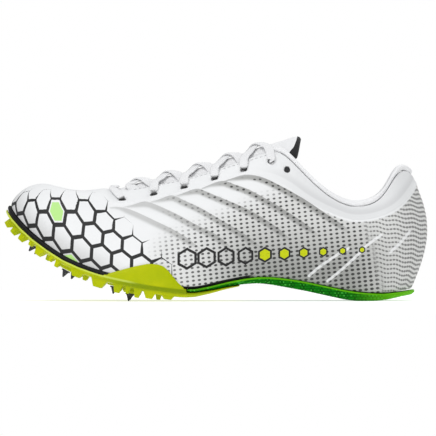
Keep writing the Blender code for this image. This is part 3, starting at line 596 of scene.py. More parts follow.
def facing_out(points, normals):
    """True where a wall's face looks away from the space for the foot."""
    middle = np.stack([
        np.clip(points[:, 0], -0.112, 0.108),
        np.full(len(points), 0.003),
        np.interp(points[:, 0], FOOT_X, FOOT_Z),
    ], axis=1)
    return np.einsum("ij,ij->i", points - middle, normals) > 0.0


def walk(line):
    """How far along a line each of its points lies."""
    steps = np.linalg.norm(np.diff(line, axis=0), axis=1)
    return np.concatenate([[0.0], np.cumsum(steps)])


shell = copy_of("upper", "upper_shell")
subdivide(shell, 2)
centres = np.array([face.center for face in shell.data.polygons])
facing = np.array([face.normal for face in shell.data.polygons])
outer_face = facing_out(centres, facing)
slots = np.where(outer_face, 0, 1).astype(np.int32)
shell.data.polygons.foreach_set("material_index", slots)

# The outer face alone is cut finer, because it carries the ribs
shell.data.polygons.foreach_set("select", outer_face)
for parts in (shell.data.edges, shell.data.vertices):
    parts.foreach_set("select", np.zeros(len(parts), bool))
pick(shell)
bpy.ops.object.mode_set(mode="EDIT")
bpy.ops.mesh.select_mode(type="FACE")
bpy.ops.mesh.subdivide(number_cuts=1, smoothness=0.0)
bpy.ops.object.mode_set(mode="OBJECT")

points = points_of(shell)
normals = normals_of(shell)
outside = facing_out(points, normals)
side_points = points[:, (0, 2)]
x, z = side_points.T

# Where each point lies: how far round the foot line from the toe, how far up
# from it, and how far over the lower edge of the eyestay and collar band
welt_line = smooth_line([row[3:] for row in FOOT_AND_WELT], True)
round_place = measure(points * FLAT, foot_line * FLAT)[1]
round_place = np.minimum(round_place, walk(foot_line * FLAT)[-1] - round_place)
climb = measure(points, foot_line)[0]
welt_gap, _, welt_near = measure(points, welt_line)
band = np.where(points[:, 2] > welt_near[:, 2], welt_gap, -welt_gap)

# The nearest rib: how far from its edge, above or below its line, and how
# strong it still is near its lower end
rib = np.full(len(points), 1.0)
rib_strength = np.zeros(len(points))
rib_rise = np.zeros(len(points))
for table in RIBS:
    line = smooth_line(table, False)
    gap, place, near = measure(side_points, line)
    left = walk(line)[-1] - place
    half = RIB_HALF_WIDTH * (0.15 + 0.85 * step_up(place, 0.0, RIB_END))
    half *= 0.5 + 0.5 * step_up(left, 0.0, RIB_END)
    closer = gap - half < rib
    rib[closer] = (gap - half)[closer]
    rib_rise[closer] = (z - near[:, 1])[closer]
    rib_strength[closer] = step_up(left, 0.0, 0.012)[closer]
bar = np.full(len(points), 1.0)
for table in HEEL_BARS:
    bar = np.minimum(bar, measure(side_points, smooth_line(table, False))[0])

# Depth inside the printed toe: from the edge of the print, whose x and z are
# in millimetres, toward the sole
TOE_PRINT_EDGE = (
    (-130.0, 75.0), (-120.0, 74.5), (-100.0, 74.0), (-82.0, 72.5), (-72.0, 68.0),
    (-62.0, 58.0), (-50.0, 46.0), (-38.0, 36.0), (-29.0, 27.0), (-25.0, 15.0), (-24.0, 0.0),
)
edge_line = smooth_line(TOE_PRINT_EDGE, False)
gap = measure(side_points, edge_line)[0]
under_edge = z < np.interp(x, edge_line[:, 0], edge_line[:, 1])
toe_print = np.where(under_edge & (x < edge_line[-1, 0]), gap, -gap)

# Share of open mesh: none at the toe and beside the eyestay, full at the rear
diagonal = (x + 0.0505) * 0.344 + (0.0435 - z) * 0.94
open_mesh = step_up(diagonal, -0.004, 0.016)
in_rib = step_up(-rib, -0.0004, 0.0006)
open_mesh = np.maximum(open_mesh, in_rib * step_up(x, -0.050, -0.020) * 0.8)
open_mesh *= step_up(x, -0.052, -0.030) * step_up(-band, 0.0008, 0.0022)
open_mesh *= 0.55 + 0.45 * step_up(x, -0.030, 0.030)
fields = {
    "round_place": round_place, "climb": climb, "band": band, "rib": rib,
    "rib_strength": rib_strength, "rib_rise": rib_rise, "toe_print": toe_print,
    "bar": bar, "open_mesh": open_mesh,
}
for name, values in fields.items():
    set_field(shell, name, values)

# The ribs are pressed in, and the mesh between them stands a little proud
upper_edge = step_up(-rib, -0.0005, 0.0004)
lower_edge = step_up(-rib, -0.0024, 0.0008)
trough = np.where(rib_rise > 0.0, upper_edge, lower_edge) * rib_strength
puff = step_up(rib, 0.0, 0.005) * step_up(-band, 0.001, 0.005)
puff *= step_up(x, -0.07, -0.05)
puff *= step_up(-x, -0.095, -0.07)
move = (PUFF * puff - RIB_DEPTH * trough) * outside
set_points(shell, points + normals * move[:, None])

# Rows of oval holes that climb to the rear: distance from the nearest middle
holes, g, given, gives = new_group(
    "hole_rows", ["Across", "Up", "Pitch", "Row"], ["Distance"])
lane = g.math("DIVIDE", g.math("MULTIPLY_ADD", given["Across"], -0.12, given["Up"]), given["Row"])
along = g.math("DIVIDE", g.math("MULTIPLY_ADD", given["Up"], 0.10, given["Across"]), given["Pitch"])
off_along = g.times(g.minus(g.math("FRACT", along), 0.5), given["Pitch"])
off_up = g.times(g.minus(g.math("FRACT", lane), 0.5), given["Row"])
tall = g.times(off_up, 1.45)
square = g.plus(g.times(off_along, off_along), g.times(tall, tall))
g.feed(gives["Distance"], g.math("SQRT", square))

# Six-sided cells: distance from the nearest border, and the cell's number
# along, in half cells, and up
cells, g, given, gives = new_group(
    "six_sided_cells", ["Across", "Up", "Size"], ["Border", "Column", "Row"])
TALL = math.sqrt(3.0)
a = g.math("DIVIDE", given["Across"], given["Size"])
b = g.math("DIVIDE", given["Up"], given["Size"])
offsets = []
for move_a, move_b in ((0.0, 0.0), (0.5, 0.5 * TALL)):
    off_a = g.minus(g.math("FLOORED_MODULO", g.minus(a, move_a), 1.0), 0.5)
    off_b = g.minus(g.math("FLOORED_MODULO", g.minus(b, move_b), TALL), 0.5 * TALL)
    offsets.append((off_a, off_b, g.plus(g.times(off_a, off_a), g.times(off_b, off_b))))
first, second = offsets
use_first = g.math("LESS_THAN", first[2], second[2])
near_a = g.choose(use_first, first[0], second[0])
near_b = g.choose(use_first, first[1], second[1])
size_a = g.math("ABSOLUTE", near_a)
slant = g.plus(g.times(size_a, 0.5), g.times(g.math("ABSOLUTE", near_b), 0.5 * TALL))
edge = g.minus(0.5, g.math("MAXIMUM", slant, size_a))
g.feed(gives["Border"], g.times(edge, given["Size"]))
g.feed(gives["Column"], g.math("ROUND", g.times(g.minus(a, near_a), 2.0)))
g.feed(gives["Row"], g.math("ROUND", g.math("DIVIDE", g.minus(b, near_b), 0.5 * TALL)))

WHITE = (0.835, 0.84, 0.845)
MESH_WHITE = (0.71, 0.71, 0.695)
MESH_GREY = (0.26, 0.265, 0.25)
COLLAR_WHITE = (0.74, 0.745, 0.75)
WELT_SHADE_GREY = (0.45, 0.45, 0.46)
TOE_PAINTED_SHADE = (0.42, 0.42, 0.41)
RIB_GREY = (0.33, 0.33, 0.32)
HOLE_PAINTED_SHADE = (0.022, 0.023, 0.022)
INK = (0.006, 0.006, 0.006)
PRINT_INK = (0.022, 0.022, 0.022)
PALE_LIME = (0.42, 0.80, 0.16)
FLASH_LIME = (0.56, 0.62, 0.004)
HEEL_X = 0.104
HEEL_RADIUS = 0.027
HOLE_PITCH = 0.0039
HOLE_ROW = 0.0028
KNIT_PITCH = 0.0022
KNIT_ROW = 0.0029
KNIT_WAVE = 0.0005
CELL_SIZE = 0.0135
CELL_LINE = 0.00115
LIMED = 0.84
TRAIL_SIZE = 0.0128
TRAIL_HEIGHT = 0.0290
TRAIL_START = -0.020
TRAIL_LIME = 0.028
TRAIL_END = 0.098
skin, n = new_material("white_mesh_and_film", Specular_IOR_Level=0.25)
point = n.object_point()
px, py, pz = n.parts(point)
opened = n.field("open_mesh")
climb_up = n.field("climb")

# Rib: grey mesh with a sharp upper edge, where the grey also stands in as
# painted shadow cast into the trough, and a soft lower edge
rib_gap = n.field("rib")
rib_side = n.ramp(n.field("rib_rise"), -0.0004, 0.0006)
above = n.ramp(rib_gap, 0.00025, -0.00025)
below = n.ramp(rib_gap, 0.0016, -0.0011)
rib_shade = n.times(n.choose(rib_side, above, below), n.field("rib_strength"))
rib_shade = n.times(rib_shade, n.ramp(px, -0.075, 0.060, 0.50, 0.95))

# Holes: wide ones on the side, and round the heel, where the wall is
# unrolled, a finer wavy knit whose holes join into bars at the very back
turned = n.math("ARCTAN2", n.minus(px, HEEL_X), n.math("ABSOLUTE", py))
behind = n.math("GREATER_THAN", px, HEEL_X)
unrolled = n.choose(behind, n.math("MULTIPLY_ADD", turned, HEEL_RADIUS, HEEL_X), px)
hole = n.group(holes, Across=unrolled, Up=pz, Pitch=HOLE_PITCH, Row=HOLE_ROW).outputs[0]
wave = n.times(n.math("SINE", n.times(unrolled, 520.0)), KNIT_WAVE)
heel_up = n.plus(n.math("MULTIPLY_ADD", unrolled, 0.25, pz), wave)
fine_hole = n.group(holes, Across=unrolled, Up=heel_up, Pitch=KNIT_PITCH, Row=KNIT_ROW).outputs[0]
fine_hole = n.minus(fine_hole, n.ramp(unrolled, 0.112, 0.132, 0.0, 0.00026))
rear = n.ramp(n.math("MULTIPLY_ADD", pz, 0.25, unrolled), 0.1070, 0.1150)
lower = n.times(n.ramp(pz, 0.066, 0.016), n.ramp(px, -0.040, 0.035))
big = n.ramp(n.math("MULTIPLY_ADD", lower, -0.00028, hole), 0.00115, 0.00070)
small = n.ramp(fine_hole, 0.00120, 0.00055, 0.0, 0.74)
pit = n.times(n.choose(rear, small, big), n.ramp(opened, 0.02, 0.75))

# Ground: white film, greyer open mesh low on the side, the collar band with a
# painted shade line above its welt, the ribs, the smooth bars at the heel, the
# holes painted dark as the shade inside them, the painted shade low on the toe
greyer = n.times(n.math("MAXIMUM", lower, 0.12), n.ramp(unrolled, 0.085, 0.125, 0.85, 0.12))
base = n.mix(n.times(opened, 0.95), WHITE, MESH_WHITE)
base = n.mix(n.times(greyer, opened), base, MESH_GREY)
band = n.field("band")
collar = n.times(n.ramp(band, -0.0004, 0.0008), n.ramp(px, 0.010, 0.085))
base = n.mix(collar, base, COLLAR_WHITE)
# A painted shade line just above the welt at the lower edge of the collar band
shade_above_welt = n.times(n.ramp(band, 0.0032, 0.0044), n.ramp(band, 0.0095, 0.0046))
shade_above_welt = n.times(n.times(shade_above_welt, n.ramp(px, 0.020, 0.060)), 0.30)
base = n.mix(shade_above_welt, base, WELT_SHADE_GREY)
base = n.mix(rib_shade, base, RIB_GREY)
bar_line = n.times(n.ramp(n.field("bar"), 0.0012, 0.0006), 0.8)
pit = n.times(pit, n.minus(1.0, bar_line))
base = n.mix(bar_line, base, WHITE)
# The holes are painted near black: painted shade inside them
base = n.mix(n.times(pit, 0.90), base, HOLE_PAINTED_SHADE)
# Painted shade low on the toe, darker toward the sole
toe_shade = n.times(n.ramp(climb_up, 0.020, 0.003), n.ramp(px, -0.052, -0.085))
base = n.mix(n.times(toe_shade, 0.55), base, TOE_PAINTED_SHADE)

# Toe print: six-sided outlines that thin out toward the print's edge, a few
# of them filled
toe = n.field("toe_print")
cell = n.group(cells, Across=n.field("round_place"), Up=climb_up, Size=CELL_SIZE)
toe_line = n.ramp(toe, -0.001, 0.012, 0.0, CELL_LINE)
ink = n.ramp(n.minus(cell.outputs[0], toe_line), 0.00012, -0.00012)
ink = n.times(ink, n.ramp(toe, 0.0, 0.0005))
middle = n.add("ShaderNodeCombineXYZ", {0: cell.outputs[1], 1: cell.outputs[2]}).outputs[0]
chance = n.add("ShaderNodeTexWhiteNoise", {"Vector": middle}, noise_dimensions="2D")
filled = n.math("GREATER_THAN", chance.outputs["Value"], LIMED)
filled = n.times(filled, n.ramp(toe, 0.004, 0.006))
filled = n.times(filled, n.ramp(cell.outputs[0], 0.0019, 0.0021))
base = n.mix(n.times(filled, 0.85), base, PALE_LIME)

# Side print: one row of cells that shrink toward the heel, the later ones
# filled with lime
row_up = n.minus(pz, TRAIL_HEIGHT - 0.5 * TALL * TRAIL_SIZE)
row_up = n.math("MULTIPLY_ADD", px, -0.05, row_up)
trail = n.group(cells, Across=px, Up=row_up, Size=TRAIL_SIZE)
trail_x = n.times(trail.outputs[1], 0.5 * TRAIL_SIZE)
inset = n.ramp(trail_x, -0.030, 0.110, 0.0008, 0.0048)
trail_line = n.ramp(trail_x, -0.030, 0.110, 0.00085, 0.00035)
from_start = n.math("GREATER_THAN", trail_x, TRAIL_START)
to_end = n.math("LESS_THAN", trail_x, TRAIL_END)
in_row = n.math("COMPARE", trail.outputs[2], 1.0, 0.1)
in_row = n.times(in_row, n.times(from_start, to_end))
off = n.math("ABSOLUTE", n.minus(trail.outputs[0], inset))
trail_ink = n.times(n.ramp(n.minus(off, trail_line), 0.0001, -0.0001), in_row)
core = n.ramp(n.minus(trail.outputs[0], n.plus(inset, trail_line)), -0.0001, 0.0001)
core = n.times(n.times(core, in_row), n.math("GREATER_THAN", trail_x, TRAIL_LIME))
base = n.mix(core, base, FLASH_LIME)
base = n.mix(n.math("MAXIMUM", ink, trail_ink), base, PRINT_INK)

# A black line at the sole: under the rubber rand at the toe, bare at the arch
toe_edge = n.times(n.ramp(climb_up, 0.0029, 0.0025), n.ramp(px, -0.058, -0.063))
arch_edge = n.ramp(n.math("ABSOLUTE", px), 0.026, 0.021)
arch_edge = n.times(n.ramp(climb_up, 0.0021, 0.0017), arch_edge)
base = n.mix(n.math("MAXIMUM", toe_edge, arch_edge), base, INK)
thread = n.group(weave, Across=unrolled, Along=pz, Pitch=0.0008).outputs[0]
fine_bump = n.bump(thread, 0.00006, n.math("MULTIPLY_ADD", opened, 0.5, 0.15))
pitted = n.bump(n.minus(1.0, pit), 0.0004, 0.8, fine_bump)
n.finish(base, pitted, n.math("MULTIPLY_ADD", opened, 0.25, 0.5))

LINING_DARK = (0.30, 0.30, 0.31)
LINING_LIGHT = (0.48, 0.48, 0.49)
lining, n = new_material("grey_knit_lining", Roughness=0.9, Sheen_Weight=0.15)
px, py, pz = n.parts(n.object_point())
thread = n.group(weave, Across=px, Along=pz, Pitch=0.0011).outputs[0]
n.finish(n.mix(thread, LINING_DARK, LINING_LIGHT), n.bump(thread, 0.0002, 0.5))
shell.data.materials.append(skin)
shell.data.materials.append(lining)
settle(shell, "upper_mesh", "upper")


# Toe rand
# A thin black rubber strip glued over the seam between the upper and the
# plate, from the ball round the toe to the other side.
RAND_END = -0.060
RAND_HEIGHT = 0.0034
RAND_THICKNESS = 0.0026
RAND_TAPER = 0.010
RAND_CORNERS = 12
RUBBER_BLACK = (0.006, 0.006, 0.006)
RUBBER_SCUFFED = (0.020, 0.020, 0.020)


def ways_of(line):
    """The way a line runs at each of its points."""
    found = np.gradient(line, axis=0)
    return found / np.linalg.norm(found, axis=1)[:, None]


def sleeve(shape, rings):
    """Lays faces between rings of corners, closes both ends, and hands back
    the faces between the rings."""
    walls = []
    for low_ring, high_ring in zip(rings[:-1], rings[1:]):
        for k in range(len(low_ring)):
            m = (k + 1) % len(low_ring)
            corners = (low_ring[k], low_ring[m], high_ring[m], high_ring[k])
            walls.append(shape.faces.new(corners))
    shape.faces.new(rings[0][::-1])
    shape.faces.new(rings[-1])
    return walls


def new_piece(shape, name):
    """An object of a bmesh, with its faces turned outward."""
    bmesh.ops.recalc_face_normals(shape, faces=shape.faces)
    data = bpy.data.meshes.new(name)
    shape.to_mesh(data)
    shape.free()
    made = bpy.data.objects.new(name, data)
    scene.collection.objects.link(made)
    return made


middle_row = len(foot_line) // 2
loop = np.concatenate([foot_line[middle_row:-1], foot_line[:middle_row]])
rows = np.where(loop[:, 0] < RAND_END)[0]
strip = loop[rows[0]:rows[-1] + 1]
walked = walk(strip)
shape = bmesh.new()
rings = []
for point, direction, place in zip(strip, ways_of(strip), walked):
    out_way = np.cross(direction, (0.0, 0.0, 1.0))
    out_way /= np.linalg.norm(out_way)
    if out_way @ (point - np.array([RAND_END, 0.002, point[2]])) < 0.0:
        out_way = -out_way
    up_way = np.cross(out_way, direction)
    up_way *= np.sign(up_way[2])
    ease = min(1.0, place / RAND_TAPER, (walked[-1] - place) / RAND_TAPER)
    size = 0.25 + 0.75 * math.sqrt(max(ease, 0.0))
    ring = []
    for corner in range(RAND_CORNERS):
        angle = math.tau * corner / RAND_CORNERS
        offset = up_way * (0.20 + 0.5 * math.sin(angle)) * RAND_HEIGHT * size
        offset += out_way * (0.15 + 0.5 * math.cos(angle)) * RAND_THICKNESS * size
        ring.append(shape.verts.new(point + offset))
    rings.append(ring)
sleeve(shape, rings)
rand_strip = new_piece(shape, "toe_rand")
rand_strip.data.shade_smooth()
rubber, n = new_material("black_rand_rubber", Roughness=0.5, Specular_IOR_Level=0.15)
point = n.object_point()
scuff = n.ramp(n.noise(point, 700.0), 0.55, 0.80)
moulded = n.group(grain, Vector=point, Scale=1200.0).outputs[0]
n.finish(n.mix(scuff, RUBBER_BLACK, RUBBER_SCUFFED), n.bump(moulded, 0.0001, 0.3))
rand_strip.data.materials.append(rubber)
settle(rand_strip, "upper_mesh")


# Collar roll
# A soft roll of foam in white knit, sewn round the rim of the ankle opening
# between the film and the lining.
COLLAR_LOW = (0.82, 0.82, 0.83)
COLLAR_HIGH = (0.90, 0.90, 0.905)
COLLAR_SHADED = (0.70, 0.70, 0.71)
roll = copy_of("collar_roll", "collar_roll_knit")
subdivide(roll, 2)
knit, n = new_material(
    "white_collar_knit", Roughness=0.8, Sheen_Weight=0.25, Sheen_Roughness=0.5)
point = n.object_point()
px, py, pz = n.parts(point)
thread = n.group(weave, Across=n.plus(px, py), Along=pz, Pitch=0.0006).outputs[0]
soft = n.noise(point, 90.0)
tone = n.mix(thread, COLLAR_LOW, COLLAR_HIGH)
tone = n.mix(n.ramp(soft, 0.3, 0.8, 0.0, 0.25), tone, COLLAR_SHADED)
n.finish(tone, n.bump(thread, 0.0001, 0.4, n.bump(soft, 0.0003, 0.2)))
roll.data.materials.append(knit)
settle(roll, "collar_knit", "collar_roll")


# Tongue
# A thin padded sheet of white knit, sewn under the vamp at its front end. It
# is lined in black, which shows at its free end where it curls up.

# The throat's front edge, y and x in millimetres, and how far and how low the
# front end reaches under it; then the edge of the black end, z and x
THROAT_FRONT = (
    (-15.0, -73.8), (-12.2, -73.6), (-8.1, -69.9), (-4.0, -67.0), (0.0, -65.4),
    (4.0, -65.0), (8.0, -65.3), (12.0, -66.8), (17.3, -69.9), (21.3, -73.8),
)
FRONT_REACH = -79.0
STRETCH = 6.0
CROWN_DROP = 1.3
CROWN_MIDDLE = 4.5
CROWN_HALF = 15.0
END_LINE = (
    (0.0955, 0.0470), (0.0983, 0.0483), (0.1020, 0.0513),
    (0.1063, 0.0530), (0.1086, 0.0536), (0.1200, 0.0537),
)
TONGUE_LOW = (0.78, 0.78, 0.79)
TONGUE_HIGH = (0.86, 0.86, 0.865)
TONGUE_END = (0.012, 0.012, 0.013)
LINING_LOW = (0.008, 0.008, 0.009)
LINING_HIGH = (0.03, 0.03, 0.032)
tongue = copy_of("tongue", "tongue_padded")
subdivide(tongue, 2)

# The front end is drawn forward and down, under the throat's front edge
points = points_of(tongue) * 1000.0
front = np.interp(points[:, 1], *zip(*THROAT_FRONT))
share = step_up(front + STRETCH - points[:, 0], 0.0, STRETCH)
crown = np.clip(1.0 - ((points[:, 1] - CROWN_MIDDLE) / CROWN_HALF) ** 2, 0.0, 1.0)
points[:, 0] -= (front - FRONT_REACH) * share
points[:, 2] -= CROWN_DROP * crown * share
points /= 1000.0
set_points(tongue, points)
set_field(tongue, "black_end", points[:, 0] - np.interp(points[:, 2], *zip(*END_LINE)))
lining_black, n = new_material(
    "black_tongue_lining", Roughness=0.8, Sheen_Weight=0.1)
px, py, pz = n.parts(n.object_point())
thread = n.group(weave, Across=px, Along=py, Pitch=0.0008).outputs[0]
n.finish(n.mix(thread, LINING_LOW, LINING_HIGH), n.bump(thread, 0.00015, 0.5))
tongue_knit, n = new_material(
    "white_tongue_knit", Roughness=0.8, Sheen_Weight=0.15, Specular_IOR_Level=0.25)
point = n.object_point()
px, py, pz = n.parts(point)
thread = n.group(weave, Across=px, Along=py, Pitch=0.0006).outputs[0]
soft = n.noise(point, 90.0)
tone = n.mix(thread, TONGUE_LOW, TONGUE_HIGH)
tone = n.mix(n.ramp(n.field("black_end"), -0.0001, 0.0001), tone, TONGUE_END)
n.finish(tone, n.bump(thread, 0.00012, 0.5, n.bump(soft, 0.0006, 0.3)))
tongue.data.materials.append(tongue_knit)
tongue.data.materials.append(lining_black)
for face in tongue.data.polygons:
    face.material_index = 1 if face.normal.z < -0.25 else 0
settle(tongue, "tongue_knit", "tongue")


# Laces
# One flat white woven lace. Each run comes out of a hole, passes over the
# edge of the throat, crosses the other run and goes down under the far edge.

# Middle line of each run, in millimetres, with the number of its crossing
LACE_RUNS = (
    (1, (
      (-55.9, -8.3, 70.5), (-53.2, -5.4, 72.2), (-57.8, -1.1, 76.4), (-55.0, 1.4, 78.5),
      (-51.8, 4.5, 79.9), (-48.6, 7.6, 80.3), (-45.8, 10.4, 79.4), (-40.4, 14.0, 75.1),
      (-39.9, 16.3, 73.4))),
    (1, (
      (-55.9, 16.9, 70.5), (-53.3, 14.4, 72.3), (-57.8, 10.5, 76.5), (-55.2, 7.9, 79.0),
      (-52.1, 4.5, 81.1), (-48.7, 1.0, 80.8), (-45.8, -1.8, 79.4), (-40.3, -5.7, 75.0),
      (-39.9, -8.8, 73.2))),
    (2, (
      (-41.1, -14.4, 69.1), (-41.3, -15.6, 70.6), (-41.2, -12.9, 75.2), (-40.6, -7.4, 78.8),
      (-36.7, -2.2, 81.3), (-34.2, 0.5, 83.5), (-31.2, 3.8, 84.7), (-28.2, 7.0, 84.8),
      (-25.6, 9.8, 83.9), (-21.6, 13.7, 79.3), (-20.9, 15.6, 77.3))),
    (2, (
      (-41.1, 20.5, 69.3), (-41.2, 22.0, 70.7), (-41.0, 20.4, 75.1), (-40.5, 16.1, 78.7),
      (-36.8, 10.2, 81.4), (-34.3, 7.4, 84.1), (-31.5, 3.7, 85.9), (-28.3, 0.0, 85.3),
      (-25.6, -2.8, 83.8), (-21.5, -6.9, 79.1), (-20.9, -9.9, 77.0))),
    (3, (
      (-21.0, -13.8, 73.6), (-21.4, -15.1, 75.1), (-21.3, -13.4, 79.4), (-20.8, -9.2, 82.9),
      (-16.7, -3.3, 86.0), (-14.2, -0.4, 88.4), (-11.2, 3.0, 89.9), (-8.2, 6.4, 90.3),
      (-5.5, 9.4, 89.6), (-2.3, 13.7, 85.0), (-1.4, 15.2, 82.8))),
    (3, (
      (-21.1, 18.2, 74.0), (-21.3, 19.8, 75.2), (-21.1, 19.3, 79.2), (-20.6, 16.4, 82.7),
      (-16.8, 9.7, 86.2), (-14.3, 6.7, 89.0), (-11.5, 2.9, 91.0), (-8.3, -0.9, 90.7),
      (-5.5, -3.9, 89.5), (-2.1, -8.2, 84.8), (-1.3, -10.8, 82.5))),
    (4, (
      (-0.8, -13.3, 79.8), (-1.3, -14.8, 81.1), (-1.3, -14.0, 85.1), (-0.8, -11.0, 88.6),
      (3.2, -4.2, 92.3), (5.6, -1.2, 94.7), (8.5, 2.4, 96.3), (11.4, 6.1, 96.9), (13.9, 9.3, 96.3),
      (16.9, 14.1, 91.6), (17.8, 15.2, 89.3))),
    (4, (
      (-1.0, 16.6, 80.3), (-1.2, 18.4, 81.2), (-1.1, 18.8, 84.8), (-0.6, 17.0, 88.2),
      (3.1, 9.4, 92.6), (5.4, 6.3, 95.4), (8.1, 2.4, 97.5), (11.2, -1.5, 97.3), (13.9, -4.7, 96.1),
      (17.0, -9.5, 91.3), (18.0, -11.6, 88.8))),
    (5, (
      (18.4, -13.8, 85.7), (18.0, -15.4, 86.8), (18.0, -15.2, 90.9), (18.5, -12.7, 94.8),
      (22.2, -5.1, 98.9), (24.5, -1.8, 101.4), (27.2, 2.1, 103.1), (29.9, 6.2, 103.7),
      (32.3, 9.8, 103.1), (34.2, 14.0, 101.2), (35.3, 17.8, 98.2), (35.9, 20.9, 94.6),
      (36.0, 19.9, 93.0), (36.1, 17.5, 92.4))),
    (5, (
      (18.3, 16.4, 86.4), (18.0, 18.3, 87.1), (18.2, 19.1, 90.6), (18.6, 17.9, 94.3),
      (22.1, 9.5, 99.2), (24.2, 6.3, 102.1), (26.7, 2.1, 104.2), (29.7, -2.1, 104.1),
      (32.3, -5.6, 102.9), (34.2, -10.4, 101.6), (35.4, -14.6, 98.4), (36.0, -17.9, 94.6),
      (36.1, -17.0, 93.0), (36.2, -14.6, 92.0))),
)
LACE_BAR = (
    (-62.2, -15.5, 65.5), (-62.3, -16.7, 67.1), (-65.2, -14.2, 71.1), (-68.0, -8.2, 74.4),
    (-67.4, -4.5, 75.9), (-67.4, 14.5, 75.9), (-68.0, 17.9, 74.4), (-65.0, 22.9, 71.0),
    (-62.1, 24.4, 67.1), (-62.2, 23.1, 65.6),
)
LACE_WIDTH = 0.0058
LACE_THICKNESS = 0.0013
LACE_CORNERS = 12
HOLE_LIFT = 0.0011
HELD_WITHIN = 0.0030
FREE_OVER = 0.0015
SMOOTHINGS = 10
LACE_LOW = (0.74, 0.74, 0.75)
LACE_HIGH = (0.87, 0.87, 0.875)
LACE_PAINTED_SHADE = (0.04, 0.04, 0.04)

# The lace's width along a run, as a share, at an end that goes into a hole
# and at one that goes under an edge
IN_HOLE = (0.50, 0.50, 0.50, 0.51, 0.53, 0.66, 0.86, 0.96, 1.0)
UNDER_EDGE = (0.80, 0.88, 0.94, 0.98, 1.0)
carriers = []
for node in ("tongue", "upper"):
    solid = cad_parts[node].data
    corners = [corner.co for corner in solid.vertices]
    faces = [tuple(face.vertices) for face in solid.polygons]
    carriers.append(BVHTree.FromPolygons(corners, faces))


def up_from(point, before):
    """The direction square to the nearer of the tongue and the upper, and
    straight up where the lace is clear of both."""
    best = None
    for carrier in carriers:
        _, normal, _, gap = carrier.find_nearest(Vector(point))
        if best is None or gap < best[0]:
            best = (gap, normal.copy())
    held = min(max((HELD_WITHIN - best[0]) / FREE_OVER, 0.0), 1.0)
    up = (best[1] * held + Vector((0.0, 0.0, 1.0 - held))).normalized()
    if up.dot(before) < 0.0:
        up = -up
    return up


def ribbon(name, route, start, end):
    """A flat woven band along a route in millimetres, as one closed mesh."""
    line = smooth_line(route, False, 5)
    lifted = np.interp(np.arange(len(line)), (0, 5, 9), (1.0, 1.0, 0.0))
    line[:, 2] += HOLE_LIFT * lifted
    spread = np.ones(len(line))
    spread[:len(start)] = start
    spread[len(line) - len(end):] = end[::-1]
    ups = []
    before = Vector((0.0, 0.0, 1.0))
    for point in line:
        before = up_from(point, before)
        ups.append(np.array(before))
    ups = np.array(ups)
    for _ in range(SMOOTHINGS):
        ups[1:-1] = (ups[:-2] + 2.0 * ups[1:-1] + ups[2:]) / 4.0
    shape = bmesh.new()
    layer = shape.loops.layers.uv.new("lace")
    rings = []
    angles = [math.tau * (corner + 0.5) / LACE_CORNERS for corner in range(LACE_CORNERS)]
    for point, direction, up, wide in zip(line, ways_of(line), ups, spread):
        side = np.cross(direction, up)
        side /= np.linalg.norm(side)
        top = np.cross(side, direction)
        thick = LACE_THICKNESS * (1.0 + 0.5 * (1.0 - wide))
        ring = []
        for angle in angles:
            a = math.copysign(abs(math.cos(angle)) ** 0.55, math.cos(angle))
            b = math.copysign(abs(math.sin(angle)) ** 0.8, math.sin(angle))
            sideways = side * (0.5 * LACE_WIDTH * wide * a)
            ring.append(shape.verts.new(point + sideways + top * (0.5 * thick * b)))
        rings.append(ring)
    walls = sleeve(shape, rings)

    # The map runs across and along the lace, in units of ten millimetres
    walked = walk(line)
    for index, face in enumerate(walls):
        k, j = divmod(index, LACE_CORNERS)
        m = (j + 1) % LACE_CORNERS
        for loop, (row, corner) in zip(face.loops, ((k, j), (k, m), (k + 1, m), (k + 1, j))):
            across = 0.5 * LACE_WIDTH * math.cos(angles[corner])
            loop[layer].uv = (across * 100.0, walked[row] * 100.0)
    made = new_piece(shape, name)
    made.data.shade_smooth()
    return made


def join(pieces, name):
    """Makes several pieces one, under one name."""
    pick(pieces[0])
    for piece in pieces[1:]:
        piece.select_set(True)
    bpy.ops.object.join()
    pieces[0].name = name
    pieces[0].data.name = name
    return pieces[0]


woven, n = new_material("white_lace_weave", Roughness=0.75, Sheen_Weight=0.2)
u, v, _ = n.parts(n.add("ShaderNodeUVMap", uv_map="lace").outputs[0])
thread = n.group(weave, Across=u, Along=v, Pitch=0.075).outputs[0]
tone = n.mix(thread, LACE_LOW, LACE_HIGH)
# Painted shade on the first few millimetres of each run, where it goes into a hole or under an edge
n.finish(n.mix(n.ramp(v, 0.32, 0.16), tone, LACE_PAINTED_SHADE), n.bump(thread, 0.00015, 0.6))
runs = {}
for number, route in LACE_RUNS:
    start = UNDER_EDGE if number == 1 else IN_HOLE
    end = IN_HOLE if number == 5 else UNDER_EDGE
    runs.setdefault(number, []).append(ribbon(f"run_{number}", route, start, end))
for number, pair in runs.items():
    cross = join(pair, f"lace_{number}")
    cross.data.materials.append(woven)
    settle(cross, "lace_weave", f"lace_cross_{number}")
front = ribbon("lace_front", LACE_BAR, IN_HOLE, IN_HOLE)
front.data.materials.append(woven)
settle(front, "lace_weave", "lace_bar")


# Eyelet shade discs
# A round dark disc inside the wall behind the spare hole at the top of each
# side, put there as painted shade seen through the hole.

